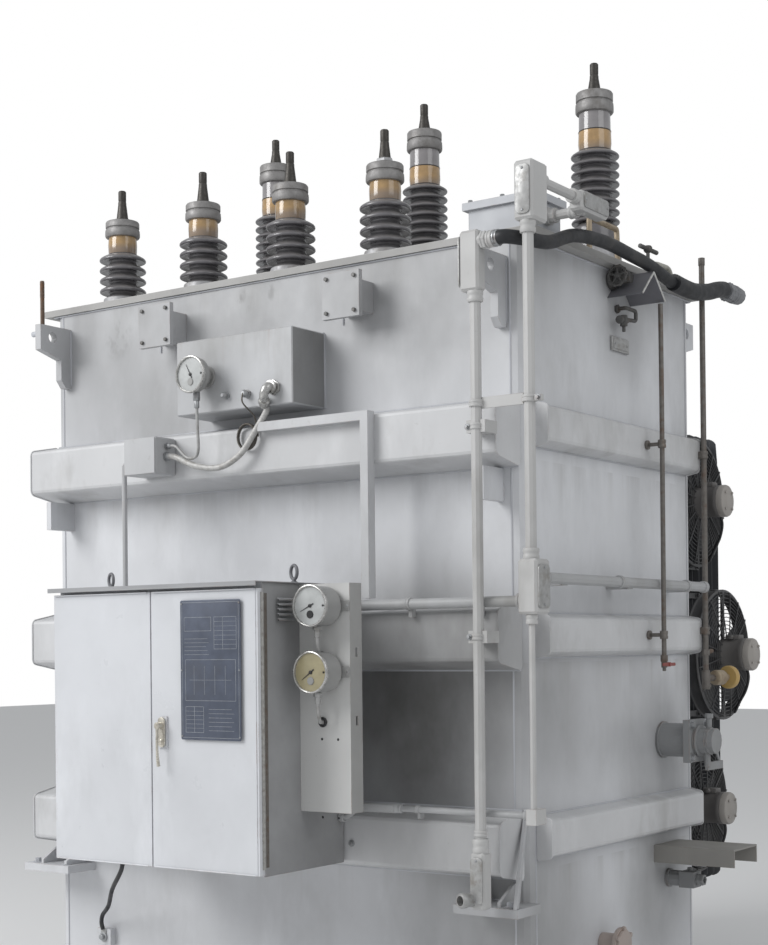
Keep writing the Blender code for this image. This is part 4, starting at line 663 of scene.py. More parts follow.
# sizes of the low front bushings and of the high back ones, heights from the cover
bushing_sizes = {
    "lv": {"core": 0.056, "rim": 0.095, "pitch": 0.0430, "sheds": 4, "neck_r": 0.070, "stack_foot": 0.068,
           "stack_top": 0.240, "glass_r": 0.058, "glass_top": 0.312, "cap_r": 0.071, "cap_top": 0.380,
           "collar_r": 0.080, "collar_top": 0.060, "flange_r": 0.108},
    "hv": {"core": 0.058, "rim": 0.091, "pitch": 0.0355, "sheds": 8, "neck_r": 0.086, "stack_foot": 0.186,
           "stack_top": 0.470, "glass_r": 0.061, "glass_top": 0.614, "cap_r": 0.072, "cap_top": 0.694,
           "collar_r": 0.096, "collar_top": 0.098, "flange_r": 0.120}}


def sight_glasses(stack_top, glass_r, glass_top):
    """The high bushing's two glasses, amber below and clear above, with the dark ring between them."""
    split = stack_top + 0.074
    return [turned_from([(glass_r, split), (glass_r + 0.0015, stack_top + 0.030),
                         (glass_r - 0.001, stack_top + 0.004)],
                        high_amber),
            turned_from([(glass_r - 0.002, glass_top), (glass_r - 0.001, split + 0.002)], clear_glass),
            turned_from([(glass_r + 0.0005, split + 0.003), (glass_r + 0.0012, split + 0.001),
                         (glass_r + 0.0005, split - 0.001)], stud_metal)]


def bushing(node, core, rim, pitch, sheds, neck_r, stack_foot, stack_top, glass_r, glass_top, cap_r, cap_top,
            collar_r, collar_top, flange_r):
    """One bushing, turned piece by piece and set on the cover."""
    low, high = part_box(node)
    tip = high[2] - COVER_TOP
    parts = [turned_from([(glass_r + 0.003, stack_top + 0.002)] + shed_outline(core, rim, stack_top, pitch,
                                                                               sheds)
                         + [(neck_r - 0.012, stack_foot + 0.004), (neck_r - 0.004, stack_foot - 0.004),
                            (neck_r, stack_foot - 0.012), (neck_r - 0.002, collar_top)], porcelain, 36)]
    if node.startswith("hv"):
        parts += sight_glasses(stack_top, glass_r, glass_top)
    else:
        parts.append(turned_from([(glass_r - 0.001, glass_top), (glass_r + 0.001, glass_top - 0.030),
                                  (glass_r, stack_top + 0.012), (glass_r - 0.002, stack_top + 0.003)],
                                  low_amber))
    groove = glass_top + (cap_top - glass_top) * 0.44
    parts.append(turned_from(
        [(0.030, cap_top), (cap_r - 0.012, cap_top - 0.001), (cap_r - 0.005, cap_top - 0.003),
         (cap_r - 0.002, cap_top - 0.008), (cap_r - 0.002, groove + 0.010), (cap_r - 0.007, groove + 0.007),
         (cap_r - 0.007, groove + 0.003), (cap_r - 0.001, groove), (cap_r, groove - 0.012),
         (cap_r, glass_top + 0.006), (cap_r - 0.003, glass_top + 0.001),
         (cap_r - 0.009, glass_top - 0.001)], cap_casting))
    parts.append(turned_from(
        [(0.013, tip), (0.0160, tip - 0.004), (0.0160, tip - 0.040), (0.0150, tip - 0.043),
         (0.0165, tip - 0.047),
         (0.0170, tip - 0.058), (0.0235, cap_top + 0.016), (0.0245, cap_top + 0.010),
         (0.034, cap_top + 0.008),
         (0.035, cap_top + 0.001)], stud_metal, 24))
    if node == "lv_bushing_4":
        parts.append(turned_from([(0.030, cap_top + 0.020), (0.033, cap_top + 0.016),
                                  (0.033, cap_top + 0.004),
                                  (0.030, cap_top + 0.001)], flange_casting, 6))
    parts.append(turned_from(
        [(collar_r - 0.008, collar_top + 0.002), (collar_r - 0.002, collar_top - 0.002),
         (collar_r, collar_top - 0.008), (collar_r, 0.030), (collar_r + 0.004, 0.022),
         (flange_r - 0.003, 0.020),
         (flange_r, 0.017), (flange_r, 0.002), (flange_r - 0.002, 0.0)], flange_casting, 36))
    bolts = copies(hex_bolt(0.018, False), [(x, y, 0.0195) for x, y in in_circle(6, flange_r - 0.013)])
    for bolt in bolts:
        bolt.data.materials.append(zinc)
    whole = weld_up(parts + bolts)
    whole.location = ((low[0] + high[0]) / 2, (low[1] + high[1]) / 2, COVER_TOP)
    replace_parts(keep(whole, f"{node}_turned", None), node)


for row, count in (("lv", 4), ("hv", 3)):
    for number in range(1, count + 1):
        bushing(f"{row}_bushing_{number}", **bushing_sizes[row])

# LIFTING LUG FITTINGS AND FOOT GUSSET
# A threaded rod and a short pin left in the front left lifting lug, and the slanting flat bar
# that braces the front right jacking foot from the tank's corner. All plain mild steel.
LUG_X, LUG_Y, LUG_TOP, ROD_R = -1.025, -0.800, 2.800, 0.0085
rusty_steel = metal("rusty_mild_steel", (0.170, 0.120, 0.090), 0.68, 0.45, RUST, 0.75, 45.0)
rod_parts = [round_bar((LUG_X, LUG_Y, LUG_TOP - 0.002), (LUG_X, LUG_Y, LUG_TOP + 0.176), ROD_R, 14)]
thread = lathe([(0.0, 0.0022), (ROD_R, 0.0022), (0.0098, 0.0), (ROD_R, -0.0022), (0.0, -0.0022)], 14)
rod_parts += copies(thread, [(LUG_X, LUG_Y, LUG_TOP + 0.112 + turn * 0.0056) for turn in range(11)])
keep(weld_up(rod_parts), "lug_threaded_rod", rusty_steel)
pin_y, pin_z = LUG_Y + 0.006, LUG_TOP - 0.030
keep(round_bar((LUG_X - 0.0145, pin_y, pin_z), (LUG_X - 0.062, pin_y, pin_z), 0.011, 16), "lug_pin",
     painted_bolts)

FOOT_TOP, FOOT_FOOT = 0.6505, 0.6195
slant = Vector((0.045, -0.150, 0.0)).normalized()
gusset = cut_plate([(0.0, 0.960), (0.0, 0.905), (0.128, FOOT_TOP), (0.158, FOOT_TOP), (0.158, 0.664)],
                   0.012, 0.0,
                   (WALL_X - 0.0015, -WALL_Y + 0.0015, 0.0), slant, (0, 0, 1))
keep(gusset, "foot_gusset", tank_paint)
bolt_set("foot_bolts", [(x, -0.775, FOOT_TOP) for x in (-1.105, -0.940, 0.940, 1.100)], (0, 0, 1),
         painted_bolts, 0.022)

# beads of weld where the lugs, the feet and the blind plates meet the tank
lug_beads = []
for side in (-1, 1):
    for outward in (-1, 1):
        y = outward * (WALL_Y + 0.001)
        for x in (side * (-LUG_X - 0.0155), side * (-LUG_X + 0.0155)):
            lug_beads.append(bead((x, y, 2.575), (x, y, LUG_TOP - 0.005)))
        for z in (FOOT_FOOT, FOOT_TOP):
            lug_beads.append(bead((side * 0.905, y, z), (side * 1.060, y, z)))
for x in (-BLIND_X - 0.075, BLIND_X - 0.075):
    lug_beads.append(bead((x, -WALL_Y - 0.002, BLIND_Z - 0.079), (x, -WALL_Y - 0.002, BLIND_Z + 0.079)))
keep(weld_up(lug_beads), "lug_weld_beads", weld_paint)

# BOX ON THE COVER
# A folded sheet junction box with a bolted lid, painted with the tank. It stands at the cover's
# right end and takes the conduit that comes up from the risers.
box_paint = old_paint("cover_box_paint", (0.500, 0.515, 0.545), grime=0.6, rust=0.35)
dress("top_junction_box", box_paint)
low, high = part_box("top_junction_box")
places = [(x, y, high[2]) for x in (low[0] + 0.022, (low[0] + high[0]) / 2, high[0] - 0.022)
          for y in (low[1] + 0.020, high[1] - 0.020)]
bolt_set("cover_box_lid_bolts", places, (0, 0, 1), zinc, 0.014)

# INSTRUMENT BOX AND ITS LEADS
# A shallow box welded to the tank's front. It carries a dial gauge on a neck, two small glands and
# an angled connector, and below it hangs a coil of spare capillary.
# Its faces toward +X are darkened with dirt and painted shade.
instrument_paint = old_paint("instrument_box_paint", (0.470, 0.478, 0.492), (2.632,), 0.20, grime=0.55,
                             rust=0.3,
                             plus_x_dirt_and_shade=0.78)
dress("instrument_box", instrument_paint)
BOX_LOW, BOX_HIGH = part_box("instrument_box")
FORWARD = (0, -1, 0)
box_face, weld_y = BOX_LOW[1], -WALL_Y - 0.002
seam = [bead((BOX_LOW[0] + 0.002, weld_y, BOX_HIGH[2]), (BOX_HIGH[0] - 0.002, weld_y, BOX_HIGH[2]), 0.004)]
seam += [bead((x, weld_y, BOX_LOW[2] + 0.002), (x, weld_y, BOX_HIGH[2] - 0.002),
              0.004) for x in (BOX_HIGH[0], BOX_LOW[0])]
keep(weld_up(seam), "instrument_box_weld", weld_paint)

gauge_case = old_paint("gauge_case_paint", (0.330, 0.330, 0.325), grime=0.5, rust=0.2, gloss=0.38,
                       chips=False)
bright_rim = metal("worn_bright_rim", (0.560, 0.555, 0.540), 0.30, 0.75, (0.28, 0.25, 0.21), 0.35, 70.0)
white_dial = glazed("white_dial_under_glass", (0.560, 0.575, 0.570), 0.10, 1.0, 0.30, 12.0)
yellowed_dial = glazed("yellowed_dial_under_glass", (0.420, 0.370, 0.225), 0.10, 1.0, 0.25, 12.0)
black_mark = metal("black_dial_marks", (0.030, 0.030, 0.032), 0.5, 0.0, (0.06, 0.06, 0.06), 0.2, 80.0)


def dial_marks(rim_r, hand):
    """The scale's long and short marks, and the pointer at its angle."""
    marks, reach = [], rim_r - 0.0135
    for k in range(31):
        long = 0.005 if k % 5 else 0.009
        marks.append(plate_box((reach - long, -0.0006, -0.0077), (reach, 0.0006, -0.0069), 0.0002, 1))
        marks[-1].rotation_euler = (0, 0, math.radians(225 - k * 9))
    along, across = (math.cos(hand), math.sin(hand), 0), (-math.sin(hand), math.cos(hand), 0)
    marks.append(cut_plate([(-0.016, -0.0022), (rim_r * 0.62, -0.0006), (rim_r * 0.62, 0.0006),
                            (-0.016, 0.0022)],
                           0.0008, 0.0, (0, 0, -0.0062), along, across, 0.0002))
    for mark in marks:
        mark.data.materials.append(black_mark)
    return marks


def clock_gauge(node, dial, deep, hand, dark_boss):
    """A round dial gauge built facing up and then turned to face the front: drum, rim, dial, marks, hand."""
    low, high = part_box(node)
    rim_r = (high[0] - low[0]) / 2
    parts = [turned_from([(rim_r - 0.004, -0.010), (rim_r - 0.003, -0.016), (rim_r - 0.005, -0.020),
                          (rim_r - 0.005, 0.012 - deep), (rim_r - 0.012, 0.004 - deep),
                          (rim_r - 0.016, -deep)],
                         gauge_case, 40),
             turned_part([(rim_r - 0.0075, -0.006), (rim_r - 0.0068, -0.0012), (rim_r - 0.0045, 0.0),
                          (rim_r - 0.0015, -0.001), (rim_r, -0.004), (rim_r, -0.012),
                          (rim_r - 0.002, -0.0145),
                          (rim_r - 0.0085, -0.0145), (rim_r - 0.0075, -0.006)], bright_rim, 48),
             turned_from([(rim_r - 0.0078, -0.0075), (rim_r - 0.0078, -0.0120)], dial, 40)]
    marks = dial_marks(rim_r, hand)
    boss = turned_from([(0.0045, -0.0035), (0.0062, -0.0045), (0.0062, -0.0076)], black_mark, 16)
    hub = turned_from([(0.0115, -0.0040), (0.0130, -0.0052), (0.0130, -0.0074)],
                      black_mark if dark_boss else gauge_case, 24)
    hub.location = (0.0, -rim_r * 0.40, 0.0)
    return lie_along(weld_up(parts + marks + [boss, hub]), FORWARD,
                     ((low[0] + high[0]) / 2, low[1], high[2] - rim_r))


def in_finish(piece, finish):
    """A part of a bigger piece, in its own finish."""
    piece.data.materials.append(finish)
    return piece


DIAL_LOW, DIAL_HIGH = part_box("dial_gauge")
dial_x, dial_z, stem_y = (DIAL_LOW[0] + DIAL_HIGH[0]) / 2, DIAL_HIGH[2] - 0.068, DIAL_LOW[1] + 0.040
dial = clock_gauge("dial_gauge", white_dial, 0.052, math.radians(118), False)
neck = round_bar((dial_x, DIAL_LOW[1] + 0.050, dial_z), (dial_x, box_face - 0.0005, dial_z), 0.030, 24)
flange = lie_along(lathe([(0.0, 0.006), (0.040, 0.006), (0.042, 0.004), (0.042, 0.0), (0.0, 0.0)], 28),
                   FORWARD,
                   (dial_x, box_face - 0.0005, dial_z))
stem = round_bar((dial_x, stem_y, dial_z - 0.060), (dial_x, stem_y, dial_z - 0.092), 0.013, 6, 0.001)
stem_foot = round_bar((dial_x, stem_y, dial_z - 0.088), (dial_x, stem_y, dial_z - 0.118), 0.0095, 16)
whole = weld_up([dial, in_finish(neck, gauge_case), in_finish(flange, gauge_case), in_finish(stem, zinc),
                 in_finish(stem_foot, zinc)])
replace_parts(keep(whole, "dial_gauge_case", None), "dial_gauge")


def gland(name, at, toward, radius, long=0.030):
    """A cable gland: a hexagon against the wall, a lock nut and a domed cap."""
    parts = [round_bar((0, 0, 0), (0, 0, long * 0.30), radius * 1.35, 6, 0.0008),
             round_bar((0, 0, long * 0.28), (0, 0, long * 0.45), radius * 0.95, 16, 0.0006),
             lathe([(0.0, long), (radius * 0.62, long), (radius * 0.90, long * 0.90),
                    (radius * 1.15, long * 0.74),
                    (radius * 1.15, long * 0.44), (0.0, long * 0.44)], 18)]
    keep(lie_along(weld_up(parts), toward, at), name, zinc)


gland("instrument_gland_1", (-0.021, box_face, 2.413), FORWARD, 0.010)
gland("instrument_gland_2", (0.077, box_face, 2.410), FORWARD, 0.012)
PLUG_X, PLUG_Z = 0.200, 2.421
connector = [bent_pipe([(PLUG_X, box_face + 0.002, PLUG_Z), (PLUG_X, box_face - 0.044, PLUG_Z),
                        (0.188, box_face - 0.048, 2.392), (0.158, box_face - 0.006, 2.3605)], 0.0165, 0.020,
                        4),
             round_bar((PLUG_X, box_face - 0.0005, PLUG_Z), (PLUG_X, box_face - 0.012, PLUG_Z), 0.028, 6),
             round_bar((PLUG_X, box_face - 0.020, PLUG_Z), (PLUG_X, box_face - 0.030, PLUG_Z), 0.024, 20),
             round_bar((0.1745, box_face - 0.029, 2.377), (0.166, box_face - 0.018, 2.368), 0.022, 8)]
keep(weld_up(connector), "angled_connector", bright_rim)


def corrugated(route, radius, pitch):
    """A flexible metal conduit: a pipe along a route, its thickness waved once for each turn of the strip."""
    points = [Vector(route[0])]
    ends = [Vector(p) for p in route]
    for a, b in zip(ends, ends[1:]):
        steps = max(2, int((b - a).length / (pitch / 4)))
        points += [a.lerp(b, (k + 1) / steps) for k in range(steps)]
    swell = [1.0 + 0.040 * math.sin(k * math.pi / 2) for k in range(len(points))]
    return drawn_pipe(points, radius / 1.040, 4, swell)


def eased(points, steps=8):
    """Points on a smooth curve through the ones given."""
    knots = [Vector(points[0])] + [Vector(p) for p in points] + [Vector(points[-1])]
    route = []
    for a, b, c, d in zip(knots, knots[1:], knots[2:], knots[3:]):
        for t in (k / steps for k in range(steps)):
            route.append(0.5 * ((2 * b) + (c - a) * t + (2 * a - 5 * b + 4 * c - d) * t * t
                                + (3 * b - a - 3 * c + d) * t ** 3))
    return route + [knots[-1]]


flex_steel = metal("flexible_steel_strip", (0.540, 0.535, 0.520), 0.50, 0.2, (0.27, 0.24, 0.20), 0.4, 60.0)
flex = corrugated(eased([(0.150, -0.838, 2.3597), (0.1490, -0.838, 2.3400), (0.0980, -0.846, 2.2680),
                         (0.0400, -0.856, 2.1950), (-0.0500, -0.864, 2.1560), (-0.1600, -0.868, 2.1690),
                         (-0.2500, -0.868, 2.2060), (-0.3047, -0.868, 2.2160)]), 0.0118, 0.008)
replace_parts(keep(flex, "flexible_conduit_strip", flex_steel), "flexible_conduit")

gauge_lead = metal("pale_gauge_lead", (0.430, 0.430, 0.425), 0.5, 0.1, (0.2, 0.18, 0.15), 0.4, 50.0)
lead = drawn_pipe(eased([(dial_x, stem_y, dial_z - 0.110), (dial_x, stem_y + 0.003, dial_z - 0.190),
                         (dial_x - 0.008, stem_y + 0.015, 2.222), (-0.160, -0.874, 2.199),
                         (-0.205, -0.868, 2.205),
                         (-0.255, -0.866, 2.246), (-0.288, -0.866, 2.252)]), 0.0058, 3)
keep(lead, "dial_gauge_lead", gauge_lead)

COIL_TURNS, COIL_STEPS = 3, 24
coil = []
for step in range(COIL_TURNS * COIL_STEPS + 1):
    turn = step / COIL_STEPS
    coil.append(Vector((0.052 + (0.044 - 0.0015 * turn) * math.cos(math.tau * turn), -0.8185 - 0.0062 * turn,
                        2.262 + 0.046 * math.sin(math.tau * turn))))
drop = eased([(0.077, box_face - 0.028, 2.410), (0.082, box_face - 0.036, 2.375), (0.100, -0.845, 2.330),
              (0.097, -0.826, 2.285)], 6)
dull_capillary = metal("dull_capillary", (0.150, 0.140, 0.125), 0.5, 0.6, (0.1, 0.08, 0.05), 0.4, 80.0)
keep(drawn_pipe(drop[:-1] + coil, 0.0030, 3), "spare_capillary", dull_capillary)

# JUNCTION BOX ON THE UPPER RAIL
# A small cast box with a plain cover, two glands on its right side and a thin conduit that
# drops behind the cabinet.
junction_paint = old_paint("junction_box_paint", (0.470, 0.475, 0.485), grime=0.55, rust=0.45)
dress("side_junction_box", junction_paint)
gland("junction_gland_lead", (-0.3050, -0.866, 2.252), (1, 0, 0), 0.009, 0.026)
gland("junction_gland_conduit", (-0.3050, -0.868, 2.214), (1, 0, 0), 0.0135, 0.020)
junction_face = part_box("side_junction_box")[0][1]
cover = plate_box((-0.4605, junction_face - 0.0035, 2.1495), (-0.3075, junction_face - 0.0004, 2.2825),
                  0.0012, 1)
keep(cover, "junction_box_cover", junction_paint)

# WIRE DUCT
# A folded cover strip over the wires, along the upper rail and down to the cabinet, tacked on.
duct_paint = old_paint("duct_paint", (0.560, 0.566, 0.578), grime=0.55, rust=0.45)
dress("wire_duct", duct_paint)

# RISERS
# Two vertical conduits near the front right corner, with cast conduit bodies, screwed covers,
# unions and straps. They carry the leads up to the box on the cover.
conduit_paint = old_paint("conduit_paint", (0.520, 0.518, 0.512), grime=0.7, rust=0.75, gloss=0.46)
cast_cover = metal("cast_cover_plate", (0.430, 0.430, 0.425), 0.42, 0.45, (0.22, 0.19, 0.15), 0.45, 45.0)
for node in ("riser_a", "riser_b"):
    dress(node, conduit_paint)
A_X, A_Y, B_X, B_Y = 1.055, -0.8823, 1.245, -0.870
UP, RIGHT, BACK = (0, 0, 1), (1, 0, 0), (0, 1, 0)


def collar(at, toward, radius, long, sides=20):
    """A threaded hub or coupling round a conduit: a short ring with rolled edges."""
    profile = ((0.62, 1.0), (0.92, 1.0), (1.0, 0.90), (1.0, 0.66), (0.93, 0.58), (0.93, 0.42), (1.0, 0.34),
               (1.0, 0.10), (0.92, 0.0), (0.62, 0.0), (0.62, 1.0))
    return lie_along(lathe([(radius * out, long * up) for out, up in profile], sides), toward, at)


def body_cover(low, high, bend):
    """A conduit body's cover plate: well rounded corners and a thin rolled edge."""
    low, high = Vector(low), Vector(high)
    thin = min(range(3), key=lambda k: high[k] - low[k])
    plate = rough_box(low, high)
    pick_edges(plate, lambda a, b: abs(abs(a[thin] - b[thin]) - (high[thin] - low[thin])) < 1e-5)
    bpy.ops.mesh.bevel(offset=bend, segments=5, affect="EDGES")
    bpy.ops.mesh.select_mode(type="VERT")
    bpy.ops.object.mode_set(mode="OBJECT")
    break_edges(plate, 0.0012, 2)
    return plate


def screw_set(name, places, toward, radius, body="root"):
    """One piece made of the same domed screw head, on its seating flange, at each place."""
    tall = 0.0032
    head = lathe([(0.0, tall), (radius * 0.45, tall), (radius * 0.82, tall * 0.72), (radius, tall * 0.22),
                  (radius * 1.02, -0.0008), (0.0, -0.0008)], 12)
    keep(weld_up(copies(head, places, toward)), name, zinc, body)


RETURN_LOW, RETURN_Z, RETURN_FACE, COVER_SCREW_R = -0.553, 2.985, B_X + 0.0310, 0.0042
riser_covers = [body_cover((A_X - 0.0500, A_Y - 0.0240, 2.655), (A_X - 0.0448, A_Y + 0.0240, 2.822), 0.014),
                body_cover((A_X - 0.0225, A_Y - 0.0320, 0.674), (A_X + 0.0225, A_Y - 0.0260, 0.824), 0.014),
                body_cover((B_X - 0.0250, B_Y - 0.0350, 2.856), (B_X + 0.0250, B_Y - 0.0298, 3.012), 0.016),
                body_cover((B_X + 0.0348, B_Y - 0.0220, 1.618), (B_X + 0.0405, B_Y + 0.0480, 1.756), 0.016),
                body_cover((B_X + 0.0258, RETURN_LOW + 0.008, 2.951),
                           (RETURN_FACE, RETURN_LOW + 0.182, 3.004), 0.012)]
keep(weld_up(riser_covers), "conduit_body_covers", cast_cover)
places = [(A_X, A_Y - 0.0320, z) for z in (0.684, 0.814)] + [(B_X, B_Y - 0.0350, z) for z in (2.868, 3.000)]
screw_set("conduit_cover_screws_front", places, FORWARD, COVER_SCREW_R)
places = [(B_X + 0.0405, B_Y + 0.013, z) for z in (1.628, 1.746)]
places += [(RETURN_FACE, RETURN_LOW + along, 2.9775) for along in (0.018, 0.172)]
screw_set("conduit_cover_screws_side", places, RIGHT, COVER_SCREW_R)
screw_set("conduit_cover_screws_left", [(A_X - 0.0500, A_Y, z) for z in (2.666, 2.811)], (-1, 0, 0),
          COVER_SCREW_R)

CROSS_Y, CROSS_Z = -0.4935, 2.9543
hubs = [collar((A_X, A_Y, 2.606), UP, 0.0262, 0.036), collar((A_X, A_Y, 0.838), UP, 0.0270, 0.044),
        collar((B_X, B_Y, 2.802), UP, 0.0258, 0.040), collar((B_X, B_Y, 1.772), UP, 0.0262, 0.036),
        collar((B_X, B_Y, 1.568), UP, 0.0190, 0.032),
        collar((B_X, B_Y + 0.068, RETURN_Z), BACK, 0.0240, 0.034),
        collar((B_X, RETURN_LOW + 0.002, RETURN_Z), FORWARD, 0.0240, 0.032),
        collar((1.1005, CROSS_Y, CROSS_Z), RIGHT, 0.0315, 0.020, 6),
        collar((1.1220, CROSS_Y, CROSS_Z), RIGHT, 0.0255, 0.020),
        collar((B_X - 0.025, CROSS_Y, CROSS_Z), (-1, 0, 0), 0.0225, 0.028),
        collar((A_X + 0.028, A_Y, 2.800), RIGHT, 0.0300, 0.022, 6),
        collar((A_X + 0.052, A_Y, 2.800), RIGHT, 0.0275, 0.0225)]
keep(weld_up(hubs), "conduit_hubs", conduit_paint)

# the open elbow at the foot of the front riser
mouth = lathe([(0.0165, 0.050), (0.0205, 0.050), (0.0240, 0.047), (0.0250, 0.044), (0.0250, 0.030),
               (0.0225, 0.026),
               (0.0225, 0.0), (0.0, 0.0), (0.0, 0.012), (0.0150, 0.012), (0.0165, 0.050)], 28)
lie_along(mouth, (-0.35, -1, 0), (A_X - 0.022, A_Y - 0.020, 0.688))
keep(mouth, "open_elbow", cast_cover)

# straps: one flat bar across to the outer riser, and a clip at each rail
straps = [plate_box((A_X + 0.0170, -0.8800, 2.2620), (B_X - 0.0170, -0.8740, 2.2990), 0.0012, 1),
          collar((B_X, B_Y, 2.2690), UP, 0.0245, 0.022), collar((A_X, A_Y, 2.2690), UP, 0.0245, 0.022),
          plate_box((B_X + 0.016, B_Y - 0.010, 2.270), (B_X + 0.046, B_Y + 0.010, 2.290), 0.0015, 1)]
straps += [collar((A_X, A_Y, z - 0.010), UP, 0.0220, 0.020) for z in (1.530, 2.207, 0.900)]
keep(weld_up(straps), "riser_straps", conduit_paint)
places = [(A_X - 0.031, -0.889, z) for z in (1.530, 2.207)] + [(B_X + 0.036, B_Y - 0.0105, 2.280)]
bolt_set("riser_strap_bolts", places, FORWARD, zinc, 0.011)

# CONDUITS ALONG THE FRONT AND THE END
# Two painted conduits run from the cabinet to the outer riser and one goes on along the end
# wall. Saddles hold them, and couplings join their lengths.
run_paint = old_paint("cross_conduit_paint", (0.400, 0.405, 0.410), grime=0.75, rust=0.7, gloss=0.46)
dress("end_conduit", run_paint)
RUN_Y, RUN_Z, THIN_Z, RAIL_Y = -0.8423, 1.644, 0.960, -0.8126
END_X_LINE, END_Z_LINE = 1.188, 1.722
runs = [collar((x, RUN_Y, z), RIGHT, radius, long) for x, z, radius, long in (
    (0.4640, RUN_Z, 0.0255, 0.026), (1.1800, RUN_Z, 0.0255, 0.028), (0.4640, 0.918, 0.0165, 0.020),
    (1.1960, THIN_Z, 0.0165, 0.026), (0.7000, THIN_Z - 0.001, 0.0155, 0.024))]
runs.append(collar((0.5540, RUN_Y, THIN_Z - 0.003), RIGHT, 0.0165, 0.020, 6))
for x in (0.750, 1.020):
    runs.append(collar((x, RUN_Y, RUN_Z), RIGHT, 0.0215, 0.018))
    runs.append(plate_box((x + 0.001, RUN_Y + 0.006, RUN_Z - 0.046), (x + 0.017, RAIL_Y, RUN_Z - 0.010),
                          0.0015, 1))
runs.append(collar((0.780, RUN_Y, THIN_Z), RIGHT, 0.0135, 0.014))
runs.append(plate_box((0.781, RUN_Y + 0.004, THIN_Z - 0.032), (0.793, RAIL_Y, THIN_Z - 0.006), 0.0015, 1))
runs += [collar((END_X_LINE, y, END_Z_LINE), BACK, 0.0235, 0.018) for y in (-0.690, -0.161, 0.397)]
runs.append(collar((END_X_LINE, 0.553, END_Z_LINE), BACK, 0.0225, 0.024))
keep(weld_up(runs), "conduit_couplings", run_paint)
THICK_LOW, THICK_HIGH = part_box("front_conduit")
THIN_LOW, THIN_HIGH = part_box("low_conduit")
straight = round_bar((THICK_LOW[0] + 0.0002, RUN_Y, RUN_Z - 0.001),
                     (THICK_HIGH[0] - 0.0002, RUN_Y, RUN_Z - 0.001),
                     0.0178, 24, 0.001)
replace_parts(keep(straight, "front_conduit_run", run_paint), "front_conduit")
joggled = [bent_pipe([(THIN_LOW[0] + 0.0002, RUN_Y, 0.9180), (0.490, RUN_Y, 0.9200), (0.545, RUN_Y, 0.9560),
                      (0.575, RUN_Y, 0.9570)], 0.0107, 0.022),
           round_bar((0.560, RUN_Y, THIN_Z - 0.003), (0.712, RUN_Y, THIN_Z - 0.001), 0.0160, 24, 0.006),
           body_cover((0.572, RUN_Y - 0.0185, THIN_Z - 0.014), (0.700, RUN_Y - 0.0150, THIN_Z + 0.011),
                      0.008),
           round_bar((0.705, RUN_Y, THIN_Z - 0.0005), (THIN_HIGH[0] - 0.0002, RUN_Y, THIN_Z - 0.0005),
                     0.0107, 20, 0.001)]
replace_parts(keep(weld_up(joggled), "low_conduit_run", run_paint), "low_conduit")

# CABINET
# A folded steel cubicle bolted to the rails, sprayed a smoother white-grey than the tank. Two
# doors hang on long piano hinges that have rusted, under a thin roof with two eyebolts.
# The cabinet's faces toward +X are darkened with dirt and painted shade.
cabinet_paint = old_paint("cabinet_paint_outdoors", (0.600, 0.610, 0.632), grime=0.30, gloss=0.36, plus_x_dirt_and_shade=0.80)
door_paint = old_paint("door_paint", (0.655, 0.668, 0.695), grime=0.22, gloss=0.34, grain=320.0)
roof_paint = old_paint("cabinet_roof_paint", (0.330, 0.335, 0.345), grime=0.8, rust=0.6, gloss=0.5)
dress("cabinet_shell", cabinet_paint)
for node in ("left_door", "right_door"):
    dress(node, door_paint)
dress("cabinet_roof", roof_paint)
CAB_LOW, CAB_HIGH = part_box("cabinet_shell")
ROOF_LOW, ROOF_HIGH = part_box("cabinet_roof")
HINGE_X, HINGE_Y, HINGE_TOP, KNUCKLE, KNUCKLES = 0.4665, -1.2558, 1.684, 0.0300, 30
door_face = CAB_LOW[1] - 0.0290

hinge_steel = metal("rusted_hinge", (0.175, 0.155, 0.138), 0.65, 0.35, (0.17, 0.10, 0.06), 0.55, 60.0)
knuckle_steel = metal("rubbed_hinge_knuckles", (0.420, 0.412, 0.395), 0.45, 0.45, (0.17, 0.12, 0.08), 0.45,
                      60.0)
knuckle_outline = [(0.0, HINGE_TOP)]
for top in (HINGE_TOP - k * KNUCKLE for k in range(KNUCKLES)):
    knuckle_outline += [(0.0062, top - 0.0012), (0.0070, top - 0.0024), (0.0070, top - KNUCKLE + 0.0024),
                        (0.0062, top - KNUCKLE + 0.0012)]
knuckle_outline.append((0.0, HINGE_TOP - KNUCKLES * KNUCKLE))
for side, name in ((-1, "left"), (1, "right")):
    knuckles = lathe(knuckle_outline, 14)
    knuckles.location = (side * (HINGE_X + 0.0005), HINGE_Y - 0.0040, 0.0)
    keep(knuckles, f"{name}_piano_hinge", knuckle_steel)
    leaf = plate_box((side * HINGE_X - 0.0012, HINGE_Y + 0.002, 0.790),
                     (side * HINGE_X + 0.0012, HINGE_Y + 0.024, 1.680), 0.0004, 1)
    leaf.location.x += side * -0.0014
    keep(leaf, f"{name}_hinge_leaf", hinge_steel)

# the doors' turned edges catch the light
EDGE_R = 0.0022
for name in ("left", "right"):
    low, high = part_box(f"{name}_door")
    rolled = [round_bar((low[0] + 0.010, door_face + 0.0018, z), (high[0] - 0.010, door_face + 0.0018, z),
                        EDGE_R, 8, 0.0004)
              for z in (high[2] - EDGE_R, low[2] + EDGE_R)]
    keep(weld_up(rolled), f"{name}_door_rolled_edges", door_paint, f"{name}_leaf")

